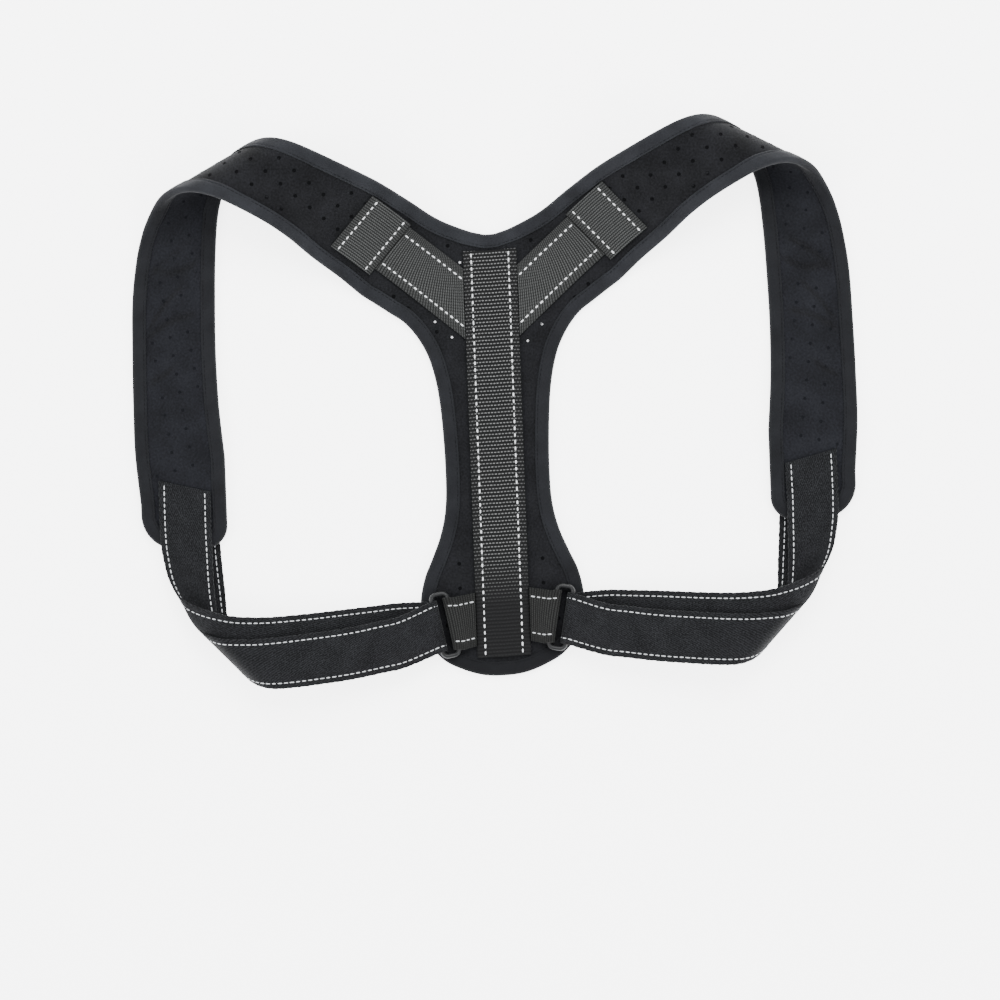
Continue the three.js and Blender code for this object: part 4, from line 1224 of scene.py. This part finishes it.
# Seams in white thread
# Every webbing and strap is sewn down both sides with a thick white reflective thread, in even
# stitches that stand a little proud of the cloth.
STITCH_PITCH = 4.8 * MM
STITCH_LENGTH = 2.6 * MM
STITCH_WIDTH = 1.15 * MM
STITCH_HIGH = 0.5 * MM
STITCH_SIDES = 8
STRAP_STITCH = (4.3 * MM, 3.0 * MM, 0.85 * MM, 0.45 * MM)
TAB_STITCH = (4.6 * MM, 2.8 * MM, 0.95 * MM, 0.45 * MM)
THREAD = (0.72, 0.73, 0.74)
STRAP_THREAD = (0.50, 0.51, 0.52)


def stitch_shape():
    """Grain of thread, one long, one wide and one high: rings of points that narrow to both ends."""
    angle = np.arange(STITCH_SIDES) * 2 * math.pi / STITCH_SIDES
    profile = ((-0.5, 0.35), (-0.4, 0.85), (-0.15, 1.0), (0.15, 1.0), (0.4, 0.85), (0.5, 0.35))
    rings = [
        np.stack([0 * angle + place, 0.5 * size * np.cos(angle), 0.5 * size * np.sin(angle) + 0.25], 1)
        for place, size in profile
    ]
    return np.concatenate(rings), [face[::-1] for face in pile_faces(len(profile), STITCH_SIDES)]


stitch_template, stitch_faces = stitch_shape()


def stitch_row(line, away, pitch=STITCH_PITCH, length=STITCH_LENGTH, width=STITCH_WIDTH, high=STITCH_HIGH):
    """Origins and directions of the stitches along a line of points with directions away from the cloth."""
    run = run_of(line)
    count = max(int(round(run[-1] / pitch)), 1)
    middle = (np.arange(count) + 0.5) * run[-1] / count

    def at(places, values):
        return np.stack([np.interp(places, run, values[:, i]) for i in range(3)], 1)

    uneven = np.sin(np.arange(count) * 2.4) * np.sin(np.arange(count) * 1.1 + 0.7)
    long = length * (1 + 0.16 * uneven)
    start, end = at(middle - long / 2, line), at(middle + long / 2, line)
    first = unit(end - start)
    third = at(middle, away)
    third = unit(third - first * (first * third).sum(1, keepdims=True))
    second = np.cross(third, first)
    wide = width * (1 + 0.18 * np.roll(uneven, 3))
    return (start + end) / 2, first * long[:, None], second * wide[:, None], third * high


def thread_finish(name, color, specular=0.4):
    """Twisted thread: soft gloss with fine strands across each stitch."""
    material, shader = start_finish(name, color, 0.5, specular=specular)
    strand = cloud(object_places(shader), 1800, 2.0)
    dirty = tuple(0.72 * c for c in color)
    give_looks(shader, blend(strand, dirty, color), strand, 0.08 * MM, 0.6)
    return material


def sew(name, rows, finish):
    """One piece of all the stitches of some rows."""
    origin, first, second, third = (np.concatenate([row[i] for row in rows]) for i in range(4))
    seam = joined_copies(name, stitch_template, stitch_faces, origin, first, second, third, finish)
    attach(seam, "root")


def row_on_webbing(place, start, end, aside, steps=60):
    """Stitch row on a webbing that lies on the foam."""
    along = np.linspace(start, end, steps)
    pattern = place(along, np.full(steps, aside))
    here, _, _, away = surface_directions(pattern, WEBBING_HIGH - 0.12 * MM)
    return stitch_row(here, away)


def row_on_band(run_data, start, end, aside, face, thickness, width, stitch):
    """Stitch row on one face of a band, at a distance aside from its middle line."""
    run, middle, half, normal, bow = run_data
    keep = (run >= start) & (run <= end)
    share = aside / (width / 2)
    line = middle[keep] + half[keep] * share + bow[keep] * bow_shape(share)
    line = line + normal[keep] * face * (thickness / 2 - 0.08 * MM)
    return stitch_row(line, normal[keep] * face, *stitch)


white_thread = thread_finish("white_thread", THREAD)
thin_thread = thread_finish("thin_white_thread", STRAP_THREAD)
SPINE_SEAM = 13.4 * MM
sew("spine_seams", [
    row_on_webbing(spine_place, 0.8 * MM, SPINE_LENGTH - 0.8 * MM, aside)
    for aside in (-SPINE_SEAM, SPINE_SEAM)
], white_thread)

DIAGONAL_SEAM = 13.0 * MM
PATCH_SEAM = 13.0 * MM
for side_name, side in SIDES.items():
    rows = [
        row_on_webbing(diagonal_place(side), aside * SLANT + 0.3 * MM, DIAGONAL_END - 0.5 * MM, aside)
        for aside in (-DIAGONAL_SEAM, DIAGONAL_SEAM)
    ]
    rows += [
        row_on_webbing(patch_place(side), 0.5 * MM, PATCH_LENGTH - 0.5 * MM, aside)
        for aside in (-PATCH_SEAM, PATCH_SEAM)
    ]
    sew(f"shoulder_seams_{side_name}", rows, white_thread)

TAB_SEAM = 13.0 * MM
STRAP_SEAM = 14.4 * MM
for side_name, side in SIDES.items():
    run_data = tab_runs[side]
    total = run_data[0][-1]
    face = 1 if run_data[3][-1][2] > 0 else -1
    rows = [
        row_on_band(run_data, total * 0.56, total - 0.3 * MM, aside, face, WEBBING, TAB_WIDTH, TAB_STITCH)
        for aside in (-TAB_SEAM, TAB_SEAM)
    ]
    sew(f"tab_seams_{side_name}", rows, thin_thread)
    run_data = adjust_runs[side]
    total = run_data[0][-1]
    rows = [
        row_on_band(run_data, 1 * MM, total - 1 * MM, aside, face, ADJUST, ADJUST_WIDTH, STRAP_STITCH)
        for aside in (-STRAP_SEAM, STRAP_SEAM) for face in (1, -1)
    ]
    sew(f"strap_seams_{side_name}", rows, thin_thread)

# Tape seam
# One row of thread in the tape's colour holds both walls of the edge tape to the laminate.
TAPE_THREAD = (0.0034, 0.0036, 0.0043)
TAPE_STITCH = (3.2 * MM, 2.3 * MM, 0.4 * MM, 0.2 * MM)
tape_thread = thread_finish("dark_thread", TAPE_THREAD, 0.08)
seam_line = outline + outline_way * SEAM_REACH
rows = []
for face in (1, -1):
    here, _, _, away = surface_directions(seam_line, face * (TAPE_OUTSIDE - 0.28 * MM))
    line = np.concatenate([here, here[:1]])
    rows.append(stitch_row(line, face * np.concatenate([away, away[:1]]), *TAPE_STITCH))
sew("tape_seam", rows, tape_thread)
